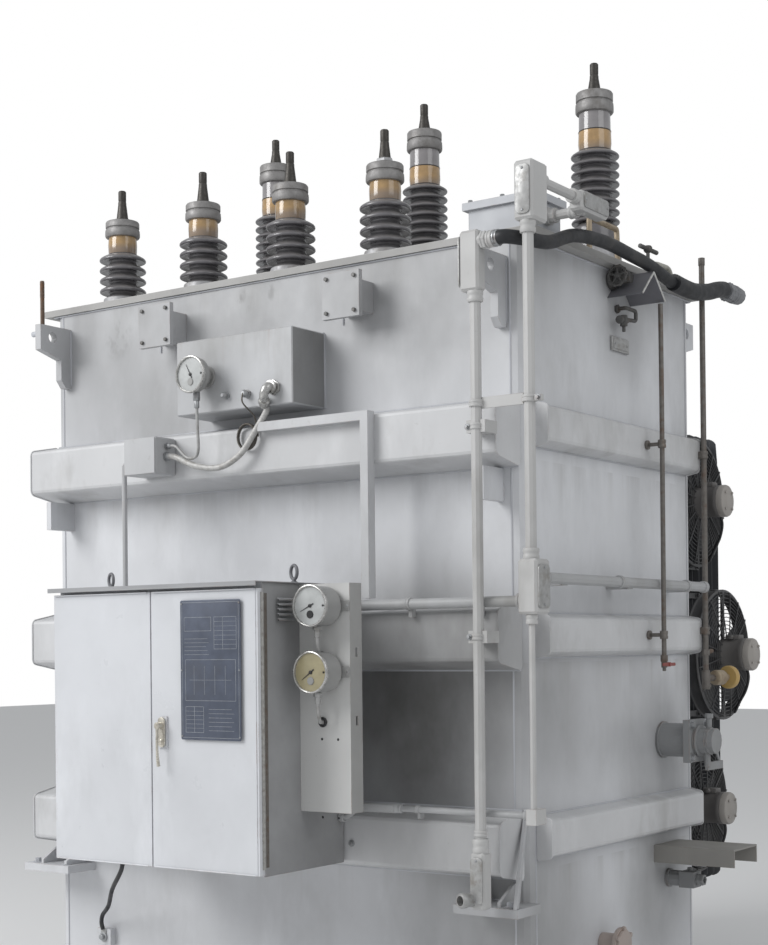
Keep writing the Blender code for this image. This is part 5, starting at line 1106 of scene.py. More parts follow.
# nameplate: a printed metal plate whose text and mark are left off, with bare generic panels
plate_metal = metal("blue_grey_plate", (0.098, 0.114, 0.156), 0.42, 0.25, (0.12, 0.12, 0.13), 0.25, 16.0)
plate_line = metal("plate_pale_line", (0.430, 0.450, 0.480), 0.45, 0.3, (0.25, 0.25, 0.25), 0.3, 60.0)
PLATE_X0, PLATE_X1, PLATE_Z0, PLATE_Z1 = 0.143, 0.404, 1.200, 1.662
plate_back = door_face - 0.0003
nameplate = body_cover((PLATE_X0, plate_back - 0.0020, PLATE_Z0), (PLATE_X1, plate_back, PLATE_Z1), 0.006)
keep(nameplate, "nameplate", plate_metal, "right_leaf")
lines = []


def ruled(x0, z0, x1, z1, wide=0.0011):
    """A raised printed line on the nameplate, level or upright."""
    aside, above = (wide / 2 if x0 == x1 else 0), (wide / 2 if z0 == z1 else 0)
    lines.append(plate_box((x0 - aside, plate_back - 0.0026, z0 - above),
                           (x1 + aside, plate_back - 0.0018, z1 + above),
                           0.0002, 1))


def ruled_box(x0, z0, x1, z1):
    """Four printed lines round an empty field."""
    ruled(x0, z0, x1, z0)
    ruled(x0, z1, x1, z1)
    ruled(x0, z0, x0, z1)
    ruled(x1, z0, x1, z1)


ruled_box(PLATE_X0 + 0.008, PLATE_Z0 + 0.008, PLATE_X1 - 0.008, PLATE_Z1 - 0.008)
ruled_box(PLATE_X0 + 0.018, 1.560, PLATE_X0 + 0.135, 1.605)
ruled_box(PLATE_X0 + 0.148, 1.500, PLATE_X1 - 0.018, 1.605)
for k in range(6):
    ruled(PLATE_X0 + 0.148, 1.515 + k * 0.015, PLATE_X1 - 0.018, 1.515 + k * 0.015, 0.0008)
ruled(PLATE_X0 + 0.185, 1.500, PLATE_X0 + 0.185, 1.605)
for k in range(5):
    ruled(PLATE_X0 + 0.018, 1.482 + k * 0.013, PLATE_X0 + 0.125 - 0.006 * (k % 3), 1.482 + k * 0.013, 0.0009)
ruled_box(PLATE_X0 + 0.022, 1.330, PLATE_X1 - 0.022, 1.465)
for k in range(4):
    ruled(PLATE_X0 + 0.060 + k * 0.045, 1.350, PLATE_X0 + 0.060 + k * 0.045, 1.445, 0.0009)
ruled(PLATE_X0 + 0.040, 1.398, PLATE_X1 - 0.040, 1.398, 0.0009)
ruled_box(PLATE_X0 + 0.022, 1.225, PLATE_X0 + 0.100, 1.310)
for k in range(5):
    ruled(PLATE_X0 + 0.022, 1.239 + k * 0.014, PLATE_X0 + 0.100, 1.239 + k * 0.014, 0.0008)
ruled(PLATE_X0 + 0.060, 1.225, PLATE_X0 + 0.060, 1.310)
for k in range(6):
    ruled(PLATE_X0 + 0.122, 1.232 + k * 0.014, PLATE_X1 - 0.030 - 0.010 * (k % 2), 1.232 + k * 0.014, 0.0009)
keep(weld_up(lines), "nameplate_fields", plate_line, "right_leaf")
rivets = [(x, plate_back - 0.0018, z) for x in (PLATE_X0 + 0.006, PLATE_X1 - 0.006)
          for z in (PLATE_Z0 + 0.012, 1.430, PLATE_Z1 - 0.012)]
screw_set("nameplate_rivets", rivets, FORWARD, 0.0032, "right_leaf")

# handle: a worn plated lever on an oval plate
handle_metal = metal("worn_plated_brass", (0.640, 0.605, 0.530), 0.30, 0.50, (0.30, 0.22, 0.13), 0.30, 26.0)
HANDLE_X, HANDLE_Z = 0.055, 1.245
escutcheon = body_cover((HANDLE_X - 0.0155, door_face - 0.0060, 1.172),
                        (HANDLE_X + 0.0155, door_face - 0.0003, 1.273), 0.0150)
keyhole = lathe([(0.0, 0.004), (0.0075, 0.004), (0.0090, 0.003), (0.0095, -0.0006), (0.0, -0.0006)], 18)
lie_along(keyhole, FORWARD, (HANDLE_X, door_face - 0.0056, 1.190))
keep(weld_up([escutcheon, keyhole]), "handle_plate", handle_metal, "right_leaf")
grip_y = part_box("door_handle")[0][1] + 0.0062
hub = lathe([(0.0, 0.0240), (0.0085, 0.0240), (0.0115, 0.0215), (0.0120, 0.0170), (0.0105, 0.0120),
             (0.0110, 0.0),
             (0.0, 0.0)], 24)
lie_along(hub, FORWARD, (HANDLE_X, door_face - 0.0062, HANDLE_Z))
hub_end = door_face - 0.0062 - 0.0240
lever_line = eased([(HANDLE_X, hub_end + 0.0075, HANDLE_Z + 0.006),
                    (HANDLE_X, grip_y + 0.0030, HANDLE_Z - 0.018),
                    (HANDLE_X + 0.001, grip_y + 0.0012, HANDLE_Z - 0.060),
                    (HANDLE_X + 0.002, grip_y + 0.0022, HANDLE_Z - 0.105),
                    (HANDLE_X + 0.003, grip_y + 0.0060, HANDLE_Z - 0.136)])
swell = [1.25 - 0.55 * min(1.0, k / 9) + 0.28 * max(0.0, (k - 20) / 12) for k in range(len(lever_line))]
handle = weld_up([hub, drawn_pipe(lever_line, 0.0066, 4, swell)])
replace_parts(keep(handle, "door_lever", handle_metal, "lever"), "door_handle")

# louvres pressed out of the right side near the front
LOUVRES, LOUVRE_FOOT, LOUVRE_STEP, SIDE_X = 5, 1.590, 0.0165, CAB_HIGH[0]
louvre_profile = [(-0.0004, 0.0095), (0.0060, 0.0070), (0.0092, 0.0010), (0.0080, 0.0006), (0.0048, 0.0056),
                  (-0.0004, 0.0076)]
louvres = [cut_plate(louvre_profile, 0.083, 0.0, (SIDE_X, -1.102, LOUVRE_FOOT + k * LOUVRE_STEP), RIGHT, UP,
                     0.0004)
           for k in range(LOUVRES)]
# a near-black finish for painted shade inside openings
painted_shade_black = metal("painted_shade_black", (0.030, 0.030, 0.032), 0.8, 0.0, (0.05, 0.045, 0.04), 0.4, 30.0)
keep(weld_up(louvres), "side_louvres", cabinet_paint)
# near-black strips under the louvres: painted shade for the dark inside their openings
louvre_shades = [plate_box((SIDE_X - 0.0006, -1.181, z + 0.0005), (SIDE_X + 0.0006, -1.106, z + 0.0055), 0.0003, 1)
         for z in (LOUVRE_FOOT + k * LOUVRE_STEP for k in range(LOUVRES))]
keep(weld_up(louvre_shades), "louvre_opening_shade", painted_shade_black)

# eyebolts in the roof, and the bolts that hold the cabinet's hangers
eye_paint = old_paint("eyebolt_paint", (0.170, 0.172, 0.185), grime=0.5, rust=0.5, gloss=0.5)


def wire_ring(ring_r, wire_r, place, turn, around, across):
    """A smooth ring of round bar, turned by three angles in degrees."""
    clear_bench()
    bpy.ops.mesh.primitive_torus_add(major_radius=ring_r, minor_radius=wire_r, major_segments=around,
                                     minor_segments=across, location=place,
                                     rotation=[math.radians(angle) for angle in turn])
    bpy.ops.object.shade_smooth()
    return bpy.context.object


eyes = []
EYE_Y, ROOF_TOP = -1.020, ROOF_HIGH[2]
for x in (-0.442, 0.412):
    eyes.append(wire_ring(0.0235, 0.0058, (x, EYE_Y, ROOF_TOP + 0.0375), (90, 0, -25), 32, 12))
    eyes.append(lathe([(0.0, 0.016), (0.006, 0.016), (0.0075, 0.008), (0.0130, 0.0045), (0.0140, 0.0030),
                       (0.0140, -0.0006), (0.0, -0.0006)], 20))
    eyes[-1].location = (x, EYE_Y, ROOF_TOP)
keep(weld_up(eyes), "cabinet_eyebolts", eye_paint)
rim_y, rim_z = ROOF_LOW[1] + 0.002, ROOF_LOW[2] + 0.0025
keep(bead((ROOF_LOW[0] + 0.004, rim_y, rim_z), (ROOF_HIGH[0] - 0.004, rim_y, rim_z), 0.0026),
     "roof_drip_edge",
     roof_paint)
places = [(side * x, -0.8128, z) for side in (1, -1) for x, z in ((0.4905, 0.826), (0.5050, 1.560))]
bolt_set("hanger_bolts", places, FORWARD, zinc, 0.013)

# GAUGE PANEL
# A folded sheet beside the cabinet that carries two drum gauges on tabs. Short hoses drop from
# the gauges into rubber grommets, and spare slots and holes are left in the sheet.
# The panel's faces toward +X are darkened with dirt and painted shade.
panel_paint = old_paint("gauge_panel_paint", (0.600, 0.600, 0.590), grime=0.45, rust=0.35, plus_x_dirt_and_shade=0.62)
dress("gauge_panel", panel_paint)
PANEL_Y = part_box("gauge_panel")[0][1]
NIPPLE_Y = -1.118
low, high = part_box("gauge_upper")
gauge_x = (low[0] + high[0]) / 2
for level, dial, hand, dark_boss in (("upper", white_dial, 205, True), ("lower", yellowed_dial, 215, False)):
    low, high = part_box(f"gauge_{level}")
    case = clock_gauge(f"gauge_{level}", dial, 0.100, math.radians(hand), dark_boss)
    gauge_z, foot = high[2] - (high[0] - low[0]) / 2, low[2]
    nipple = round_bar((gauge_x, NIPPLE_Y, gauge_z - 0.064), (gauge_x, NIPPLE_Y, foot), 0.0100, 18)
    nut = round_bar((gauge_x, NIPPLE_Y, gauge_z - 0.066), (gauge_x, NIPPLE_Y, gauge_z - 0.080), 0.0150, 6)
    tab = plate_box((gauge_x + 0.052, PANEL_Y - 0.0080, gauge_z - 0.018),
                    (gauge_x + 0.0905, PANEL_Y - 0.0042, gauge_z + 0.018), 0.0015, 1)
    tab_pad = plate_box((gauge_x + 0.072, PANEL_Y - 0.0100, gauge_z - 0.010),
                        (gauge_x + 0.0860, PANEL_Y - 0.0070, gauge_z + 0.010), 0.0012, 1)
    whole = weld_up([case, in_finish(nipple, cast_cover), in_finish(nut, cast_cover),
                     in_finish(tab, gauge_case),
                     in_finish(tab_pad, gauge_case)])
    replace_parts(keep(whole, f"{level}_gauge", None), f"gauge_{level}")
    screw_set(f"{level}_gauge_tab_screw", [(gauge_x + 0.084, PANEL_Y - 0.0080, gauge_z)], FORWARD, 0.0050)
    hose = drawn_pipe(eased([(gauge_x, NIPPLE_Y, foot + 0.004), (gauge_x, -1.117, foot - 0.022),
                             (gauge_x - 0.003, -1.108, foot - 0.046), (gauge_x - 0.014, -1.088, foot - 0.060),
                             (gauge_x - 0.022, -1.064, foot - 0.062)]), 0.0062, 4)
    keep(hose, f"{level}_gauge_hose", gauge_lead)
    grommet = wire_ring(0.0125, 0.0048, (gauge_x - 0.024, PANEL_Y - 0.0028, foot - 0.062), (90, 0, 0), 28, 10)
    keep(grommet, f"{level}_gauge_grommet", black_mark)

# near-black discs in the panel's spare holes: painted shade for the dark behind them
hole_shade = lathe([(0.0, 0.0004), (0.0042, 0.0004), (0.0046, 0.0), (0.0042, -0.0008), (0.0, -0.0008)], 16)
hole_shades = copies(hole_shade, [(x, PANEL_Y, z) for x in (0.553, 0.619) for z in (1.199, 0.9415)], FORWARD)
keep(weld_up(hole_shades), "panel_spare_hole_shade", painted_shade_black)

# HOSE AND ITS FITTING
# A thick black rubber hose that leaves the front riser's union, lies along under the cover's
# edge on the end, and ends in a painted coupling with a hexagon nut.
rubber = metal("black_rubber_sheath", (0.020, 0.021, 0.024), 0.52, 0.0, (0.070, 0.066, 0.060), 0.55, 14.0)
fitting_paint = old_paint("hose_fitting_paint", (0.200, 0.205, 0.215), grime=0.6, rust=0.4, chips=False)
dress("hose_fitting", fitting_paint)
FIT_LOW, FIT_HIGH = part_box("hose_fitting")
fit_x, fit_z = (FIT_LOW[0] + FIT_HIGH[0]) / 2, (FIT_LOW[2] + FIT_HIGH[2]) / 2
rings = [collar((fit_x, FIT_LOW[1] + 0.004, fit_z), BACK, 0.0385, 0.034, 6),
         collar((fit_x, FIT_LOW[1] + 0.060, fit_z), BACK, 0.0365, 0.030, 24)]
keep(weld_up(rings), "hose_coupling_rings", fitting_paint)
HOSE_R, hose_start = 0.023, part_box("cable_hose")[0]
start_z = hose_start[2] + HOSE_R
sag = [(hose_start[0], A_Y, start_z), (hose_start[0] + 0.040, A_Y, start_z), (fit_x - 0.012, -0.815, start_z)]
sag += [(fit_x, y, z) for y, z in (
    (-0.690, start_z + 0.012), (-0.520, 2.868), (-0.300, 2.890), (-0.080, 2.882), (0.060, 2.873),
    (0.240, 2.846),
    (0.400, 2.842), (0.540, 2.862), (0.640, 2.888), (FIT_LOW[1] - 0.030, fit_z - 0.001),
    (FIT_LOW[1] - 0.0003, fit_z))]
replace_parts(keep(drawn_pipe(eased(sag, 6), HOSE_R, 7), "cable_hose_run", rubber),
            "cable_hose")
sleeve = [(fit_x + 0.0055, y, z) for _, y, z in sag[8:13]]
keep(drawn_pipe(eased(sleeve, 6), 0.0320, 7), "hose_end_sleeve", rubber)
clip = collar((A_X + 0.0755, A_Y, 2.800), RIGHT, 0.0272, 0.018)
keep(clip, "hose_clip", zinc)

# VALVES AND SHELTER ON THE RIGHT END
# Under the cover's edge: a bent sheet hood over a small valve, a handwheel valve and a T-handled
# valve, with a sample pipe that runs down the wall to a red-handled cock.
dark_casting = metal("dark_casting", (0.120, 0.118, 0.115), 0.55, 0.4, (0.12, 0.08, 0.05), 0.5, 45.0)
sample_metal = metal("dull_sample_pipe", (0.200, 0.185, 0.170), 0.52, 0.55, (0.16, 0.09, 0.05), 0.55, 40.0)
red_paint = old_paint("red_handle_paint", (0.250, 0.060, 0.050), grime=0.5, rust=0.4, gloss=0.5, chips=False)
yellow_paint = old_paint("yellow_cap_paint", (0.520, 0.350, 0.120), grime=0.4, rust=0.2, gloss=0.42,
                         chips=False)
tan_metal = metal("tan_bracket", (0.420, 0.345, 0.250), 0.5, 0.4, (0.22, 0.14, 0.08), 0.5, 30.0)
pale_tube = metal("pale_tube", (0.480, 0.470, 0.420), 0.42, 0.35, (0.22, 0.18, 0.12), 0.4, 40.0)
# The hood's very dark colour is painted shade, for the shadow it hangs in under the cover.
hood_painted_shade = old_paint("hood_painted_shade", (0.165, 0.165, 0.182), grime=0.5, rust=0.4, gloss=0.55, chips=False)
dress("angle_hood", hood_painted_shade)
HOOD_LOW, HOOD_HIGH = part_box("angle_hood")
hood_y = (HOOD_LOW[1] + HOOD_HIGH[1]) / 2
# bright bars along the hood's front edges: chipped paint, with a painted highlight where the light catches
# them
bare_edge_and_highlight = metal("chipped_and_highlit_edge", (0.640, 0.640, 0.620), 0.40, 0.20, (0.30, 0.26, 0.22), 0.25, 60.0)
edges = [round_bar((HOOD_HIGH[0], side, HOOD_LOW[2] + 0.001), (HOOD_HIGH[0], hood_y, HOOD_HIGH[2] - 0.004),
                   0.0036, 8,
                   0.0004) for side in (HOOD_LOW[1] + 0.003, HOOD_HIGH[1] - 0.003)]
keep(weld_up(edges), "hood_chipped_and_highlit_edge", bare_edge_and_highlight)

# handwheel valve at the left of the hood, its wheel turned to the front
wheel_x, wheel_y, wheel_z = 1.160, -0.086, 2.822
END_FACE = WALL_X + 0.0003
boss = [round_bar((END_FACE, wheel_y + 0.060, wheel_z), (1.120, wheel_y + 0.060, wheel_z), 0.034, 24, 0.003),
        round_bar((1.118, wheel_y + 0.060, wheel_z), (1.186, wheel_y + 0.060, wheel_z), 0.020, 20),
        round_bar((wheel_x, wheel_y + 0.066, wheel_z), (wheel_x, wheel_y + 0.022, wheel_z), 0.019, 6),
        round_bar((wheel_x, wheel_y + 0.030, wheel_z), (wheel_x, wheel_y - 0.006, wheel_z), 0.0065, 14)]
keep(weld_up(boss), "handwheel_valve_body", dark_casting)
wheel = [wire_ring(0.0340, 0.0046, (wheel_x, wheel_y, wheel_z), (90, 0, 0), 40, 10)]
SPOKES, GRIPS = 5, 10
for k in range(SPOKES):
    c, d = math.cos(math.tau * k / SPOKES + 0.3), math.sin(math.tau * k / SPOKES + 0.3)
    wheel.append(round_bar((wheel_x + 0.006 * c, wheel_y, wheel_z + 0.006 * d),
                           (wheel_x + 0.032 * c, wheel_y, wheel_z + 0.032 * d), 0.0034, 10, 0.0006))
for x, z in in_circle(GRIPS, 0.0350, 0.0):
    wheel.append(round_bar((wheel_x + x, wheel_y - 0.0035, wheel_z + z),
                           (wheel_x + x, wheel_y + 0.0035, wheel_z + z),
                           0.0062, 12, 0.0010))
wheel.append(round_bar((wheel_x, wheel_y + 0.007, wheel_z), (wheel_x, wheel_y - 0.008, wheel_z), 0.0105, 20))
keep(weld_up(wheel), "handwheel", dark_casting)

# T-handled valve on the cover's edge, with its pale bent tube, and the tan bent bracket
tee_x, tee_y, tee_top = 1.128, 0.232, 2.983
tee = [round_bar((tee_x, tee_y, 2.8874), (tee_x, tee_y, 2.902), 0.018, 6),
       round_bar((tee_x, tee_y, 2.900), (tee_x, tee_y, tee_top), 0.0070, 14),
       round_bar((tee_x, tee_y - 0.068, tee_top), (tee_x, tee_y + 0.076, tee_top), 0.0085, 14),
       lathe([(0.0, 0.014), (0.012, 0.012), (0.0165, 0.005), (0.0165, -0.005), (0.012, -0.012),
              (0.0, -0.014)], 20)]
tee[-1].location = (tee_x, tee_y, tee_top)
keep(weld_up(tee), "tee_handle_valve", dark_casting)
route = [(1.122, y, z) for y, z in ((0.296, 2.8878), (0.296, 2.940), (0.425, 2.944), (0.448, 2.8878))]
keep(bent_pipe(route, 0.0125, 0.030, 4), "pale_bent_tube", pale_tube)
route = [(tee_x, y, z) for y, z in ((-0.235, 2.8880), (-0.235, 3.004), (-0.024, 3.004), (-0.018, 2.8880))]
bracket = bent_pipe(route, 0.0105, 0.012, 2)
keep(bracket, "tan_bent_bracket", tan_metal)

# needle valve and blank tag plate under the hood
needle_x, needle_y, needle_z = 1.140, 0.020, 2.726


def at_needle(along, rise):
    """A point in the needle valve's own plane, told from where its pipe leaves the wall."""
    return (needle_x, needle_y + along, needle_z + rise)


needle = [bent_pipe([(END_FACE, needle_y, needle_z), at_needle(0.0, 0.0), at_needle(0.080, 0.0),
                     at_needle(0.080, -0.036),
                     at_needle(0.010, -0.042)], 0.0072, 0.012, 3),
          round_bar((END_FACE, needle_y, needle_z), (1.112, needle_y, needle_z), 0.0160, 6),
          round_bar(at_needle(-0.018, -0.030), at_needle(-0.018, -0.070), 0.0135, 6),
          round_bar(at_needle(0.014, -0.044), at_needle(-0.046, -0.050), 0.0100, 14),
          round_bar(at_needle(-0.018, -0.068), at_needle(-0.018, -0.090), 0.0062, 12),
          round_bar(at_needle(-0.044, -0.050), at_needle(-0.056, -0.051), 0.0150, 16)]
keep(weld_up(needle), "needle_valve", dark_casting)
tag = [plate_box((1.1002, -0.032, 2.570), (1.110, 0.104, 2.622), 0.002, 1),
       plate_box((1.1096, -0.020, 2.578), (1.1125, 0.092, 2.614), 0.001, 1)]
keep(weld_up(tag), "blank_tag_plate", cast_cover)
screw_set("tag_plate_screws", [(1.1122, y, 2.596) for y in (-0.010, 0.082)], RIGHT, 0.0040)

# SAMPLE PIPES
# Two thin steel pipes down the end wall on brackets: one to a small cock with a red handle, and
# one to a tee with a grey filter cup and a yellow cap.
PIPE_A_LOW, PIPE_A_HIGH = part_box("sampling_pipe_a")
PIPE_B_LOW, PIPE_B_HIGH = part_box("sampling_pipe_b")
RAIL_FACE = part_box("right_rail_top")[1][0]
pipe_a_x, pipe_a_y, pipe_b_x, pipe_b_y = 1.225, 0.130, 1.180, 0.600
foot_a, foot_b = PIPE_A_LOW[2], PIPE_B_LOW[2]
cock_z, tee_z = foot_a + 0.025, foot_b + 0.045


def upright_bar(x, y, top, foot, radius, sides):
    """A length of round or hexagon bar standing on end."""
    return round_bar((x, y, top), (x, y, foot), radius, sides)


pipe_a = [drawn_pipe([(pipe_a_x, pipe_a_y, PIPE_A_HIGH[2] - 0.0005), (pipe_a_x + 0.001, pipe_a_y, 2.400),
                      (pipe_a_x, pipe_a_y + 0.001, 1.900), (pipe_a_x, pipe_a_y, cock_z + 0.012)], 0.0090),
          upright_bar(pipe_a_x, pipe_a_y, cock_z + 0.034, cock_z + 0.010, 0.0135, 6),
          upright_bar(pipe_a_x, pipe_a_y, cock_z + 0.014, cock_z - 0.012, 0.0110, 18),
          upright_bar(pipe_a_x, pipe_a_y, cock_z - 0.010, foot_a + 0.0005, 0.0068, 14)]
for z in (2.235, 1.535):
    pipe_a += [round_bar((RAIL_FACE + 0.0003, pipe_a_y, z), (RAIL_FACE + 0.010, pipe_a_y, z), 0.0170, 20),
               round_bar((RAIL_FACE + 0.008, pipe_a_y, z), (pipe_a_x - 0.006, pipe_a_y, z), 0.0070, 14),
               collar((pipe_a_x, pipe_a_y, z - 0.015), UP, 0.0150, 0.030, 18)]
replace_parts(keep(weld_up(pipe_a), "sample_pipe_a_run", sample_metal), "sampling_pipe_a")
handle = [cut_plate([(-0.056, -0.006), (0.050, -0.006), (0.050, 0.006), (-0.056, 0.006)], 0.0045, 0.005,
                    (pipe_a_x + 0.018, pipe_a_y, cock_z), BACK, UP),
          round_bar((pipe_a_x + 0.009, pipe_a_y, cock_z), (pipe_a_x + 0.026, pipe_a_y, cock_z), 0.0080, 14)]
keep(weld_up(handle), "red_cock_handle", red_paint)

pipe_b = [drawn_pipe([(pipe_b_x, pipe_b_y, PIPE_B_HIGH[2] - 0.0005), (pipe_b_x, pipe_b_y + 0.001, 2.500),
                      (pipe_b_x + 0.001, pipe_b_y, 2.000), (pipe_b_x, pipe_b_y, foot_b + 0.004)], 0.0110),
          upright_bar(pipe_b_x, pipe_b_y, PIPE_B_HIGH[2] - 0.030, PIPE_B_HIGH[2] - 0.0004, 0.0128, 20),
          upright_bar(pipe_b_x, pipe_b_y, tee_z + 0.030, foot_b + 0.0008, 0.0165, 20),
          upright_bar(pipe_b_x, pipe_b_y, tee_z + 0.112, tee_z + 0.088, 0.0155, 6),
          round_bar((pipe_b_x, pipe_b_y + 0.008, tee_z + 0.100),
                    (pipe_b_x + 0.006, pipe_b_y + 0.046, tee_z + 0.106),
                    0.0090, 14),
          round_bar((pipe_b_x, pipe_b_y + 0.010, tee_z), (pipe_b_x + 0.007, pipe_b_y + 0.062, tee_z),
                    0.0130, 6),
          round_bar((pipe_b_x, pipe_b_y + 0.008, foot_b + 0.012),
                    (pipe_b_x + 0.004, pipe_b_y + 0.030, foot_b + 0.014),
                    0.0070, 14)]
for z in (2.240, 1.552):
    pipe_b += [plate_box((RAIL_FACE + 0.0003, pipe_b_y - 0.014, z - 0.014),
                         (pipe_b_x - 0.005, pipe_b_y + 0.014, z + 0.014)),
               collar((pipe_b_x, pipe_b_y, z - 0.015), UP, 0.0165, 0.030, 18)]
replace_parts(keep(weld_up(pipe_b), "sample_pipe_b_run", sample_metal), "sampling_pipe_b")
CUP_AIM = (0.13, 1, 0)
cup = lathe([(0.0, 0.0), (0.0180, 0.0), (0.0270, 0.004), (0.0300, 0.012), (0.0300, 0.056), (0.0270, 0.064),
             (0.0160, 0.068), (0.0150, 0.096), (0.0, 0.096)], 28)
lie_along(cup, CUP_AIM, (pipe_b_x + 0.0072, pipe_b_y + 0.060, tee_z))
keep(cup, "tan_filter_cup", tan_metal)
cap = lathe([(0.0, 0.034), (0.030, 0.034), (0.0420, 0.031), (0.0460, 0.024), (0.0460, 0.010), (0.0420, 0.003),
             (0.020, 0.0), (0.0, 0.0)], 32)
lie_along(cap, CUP_AIM, (pipe_b_x + 0.0196, pipe_b_y + 0.1555, tee_z))
keep(cap, "yellow_cup_cap", yellow_paint)

# FILTER VALVE, CHANNEL AND DRAIN VALVE
# A flanged gate valve on a stub with a long lever, a folded channel that sticks out as a shelf,
# and the small drain valve under it.
valve_paint = old_paint("valve_paint", (0.270, 0.275, 0.280), grime=0.7, rust=0.6, gloss=0.5)
for node in ("filter_valve", "drain_valve"):
    dress(node, valve_paint)
channel_paint = old_paint("channel_paint", (0.290, 0.280, 0.262), grime=0.8, rust=0.8, gloss=0.55)
dress("channel_bracket", channel_paint)
valve_y, valve_z = 0.375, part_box("filter_valve")[1][2] - 0.080
flange_x = END_FACE + 0.132 + 0.0125
places = [(flange_x, valve_y + dy, valve_z + dz) for dy in (-0.062, 0.062) for dz in (-0.062, 0.062)]
bolt_set("filter_valve_bolts", places, RIGHT, zinc, 0.020)
bonnet = [collar((x, valve_y, valve_z), RIGHT, radius, long, sides) for x, radius, long, sides in (
    (flange_x + 0.0002, 0.0600, 0.014, 28), (flange_x + 0.040, 0.0530, 0.018, 8),
    (1.1005, 0.0700, 0.010, 32))]
keep(weld_up(bonnet), "filter_valve_rings", valve_paint)
DRAIN_LOW, DRAIN_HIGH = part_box("drain_valve")
drain_y, drain_z = (DRAIN_LOW[1] + DRAIN_HIGH[1]) / 2, (DRAIN_LOW[2] + DRAIN_HIGH[2]) / 2
drain = [collar((DRAIN_HIGH[0] - 0.0005, drain_y, drain_z), RIGHT, 0.0230, 0.030, 6),
         collar((1.1006, drain_y, drain_z), RIGHT, 0.0360, 0.012, 24),
         upright_bar(DRAIN_HIGH[0] - 0.030, drain_y, drain_z + 0.029, drain_z + 0.044, 0.010, 12)]
keep(weld_up(drain), "drain_valve_rings", valve_paint)
lever_bar = [cut_plate([(-0.0095, -0.160), (0.0095, -0.160), (0.0095, 0.012), (-0.0095, 0.012)], 0.0050,
                       0.006,
                       (1.268, 0.4440, 1.165), (-0.15, 0.866, 0.5), (0, -0.5, 0.866)),
             round_bar((1.268, 0.412, 1.160), (1.268, 0.452, 1.165), 0.0090, 14),
             upright_bar(1.290, valve_y, 1.178, 1.222, 0.0110, 16),
             upright_bar(1.290, valve_y, 1.220, 1.238, 0.0160, 6)]
keep(weld_up(lever_bar), "filter_valve_locking_lever", valve_paint)
plug_paint = old_paint("plug_flange_paint", (0.400, 0.340, 0.310), grime=0.6, rust=0.5)
PLUG_FLANGE_Y, PLUG_FLANGE_Z = -0.140, 0.440
low_boss = [round_bar((start, PLUG_FLANGE_Y, PLUG_FLANGE_Z), (end, PLUG_FLANGE_Y, PLUG_FLANGE_Z), radius,
                      sides, 0.003)
            for start, end, radius, sides in ((END_FACE, 1.170, 0.036, 28), (1.166, 1.182, 0.060, 32),
                                              (1.180, 1.192, 0.052, 32))]
places = [(1.1818, PLUG_FLANGE_Y + y, PLUG_FLANGE_Z + z) for y, z in in_circle(6, 0.0555)]
low_boss += copies(hex_bolt(0.016, False), places, RIGHT)
keep(weld_up(low_boss), "low_plug_flange", plug_paint)

# GROUND PAD AND LEAD
# A welded pad low on the front with its bolt. The black earth lead is stiff, fixed at both ends,
# and comes down to the pad from the cabinet's floor.
PAD_X, PAD_Y, PAD_Z = -0.825, -0.690, 0.3628
bolt_set("ground_pad_bolt", [(PAD_X, PAD_Y - 0.0040, PAD_Z)], FORWARD, zinc, 0.020)
lug_plate = body_cover((PAD_X - 0.014, PAD_Y - 0.0044, PAD_Z - 0.020),
                       (PAD_X + 0.014, PAD_Y - 0.0004, PAD_Z + 0.036),
                       0.010)
keep(lug_plate, "ground_lead_lug", cast_cover)
floor_z = CAB_LOW[2]
lead = drawn_pipe(eased([(-0.425, -0.985, floor_z + 0.0005), (-0.430, -0.985, floor_z - 0.030),
                         (-0.470, -0.955, floor_z - 0.080), (-0.600, -0.870, 0.590), (-0.720, -0.770, 0.505),
                         (-0.800, -0.722, 0.455), (-0.826, -0.703, 0.420),
                         (PAD_X, PAD_Y - 0.0060, PAD_Z + 0.030)]), 0.0085, 4)
keep(lead, "ground_lead", rubber)
stub = drawn_pipe(eased([(-0.330, -1.000, floor_z + 0.0005), (-0.330, -1.000, floor_z - 0.022),
                         (-0.305, -0.998, floor_z - 0.034), (-0.275, -0.996, floor_z - 0.026),
                         (-0.268, -0.996, floor_z + 0.0005)], 7), 0.0085, 4)
keep(stub, "cabinet_floor_loop", rubber)
gland("ground_lead_gland", (-0.425, -0.985, floor_z), (0, 0, -1), 0.0115, 0.020)

# RADIATORS
# Three banks of pressed steel panels on header pipes at the back. Each panel is two sheets seam
# welded round the edge and between its flutes. The banks are coloured near black: dark paint with
# painted shade for the shadow they stand in behind the tank.
radiator_paint = old_paint("radiator_paint", (0.072, 0.075, 0.081), grime=0.55, rust=0.35, gloss=0.45,
                           chips=False)
PANEL_COUNT, PANEL_PITCH, PANEL_WIDE, PANEL_FROM = 12, 0.070, 0.520, 0.790
PANEL_FOOT, PANEL_TOP, FLUTES, FLUTE_DEEP = 0.450, 2.430, 7, 0.0095


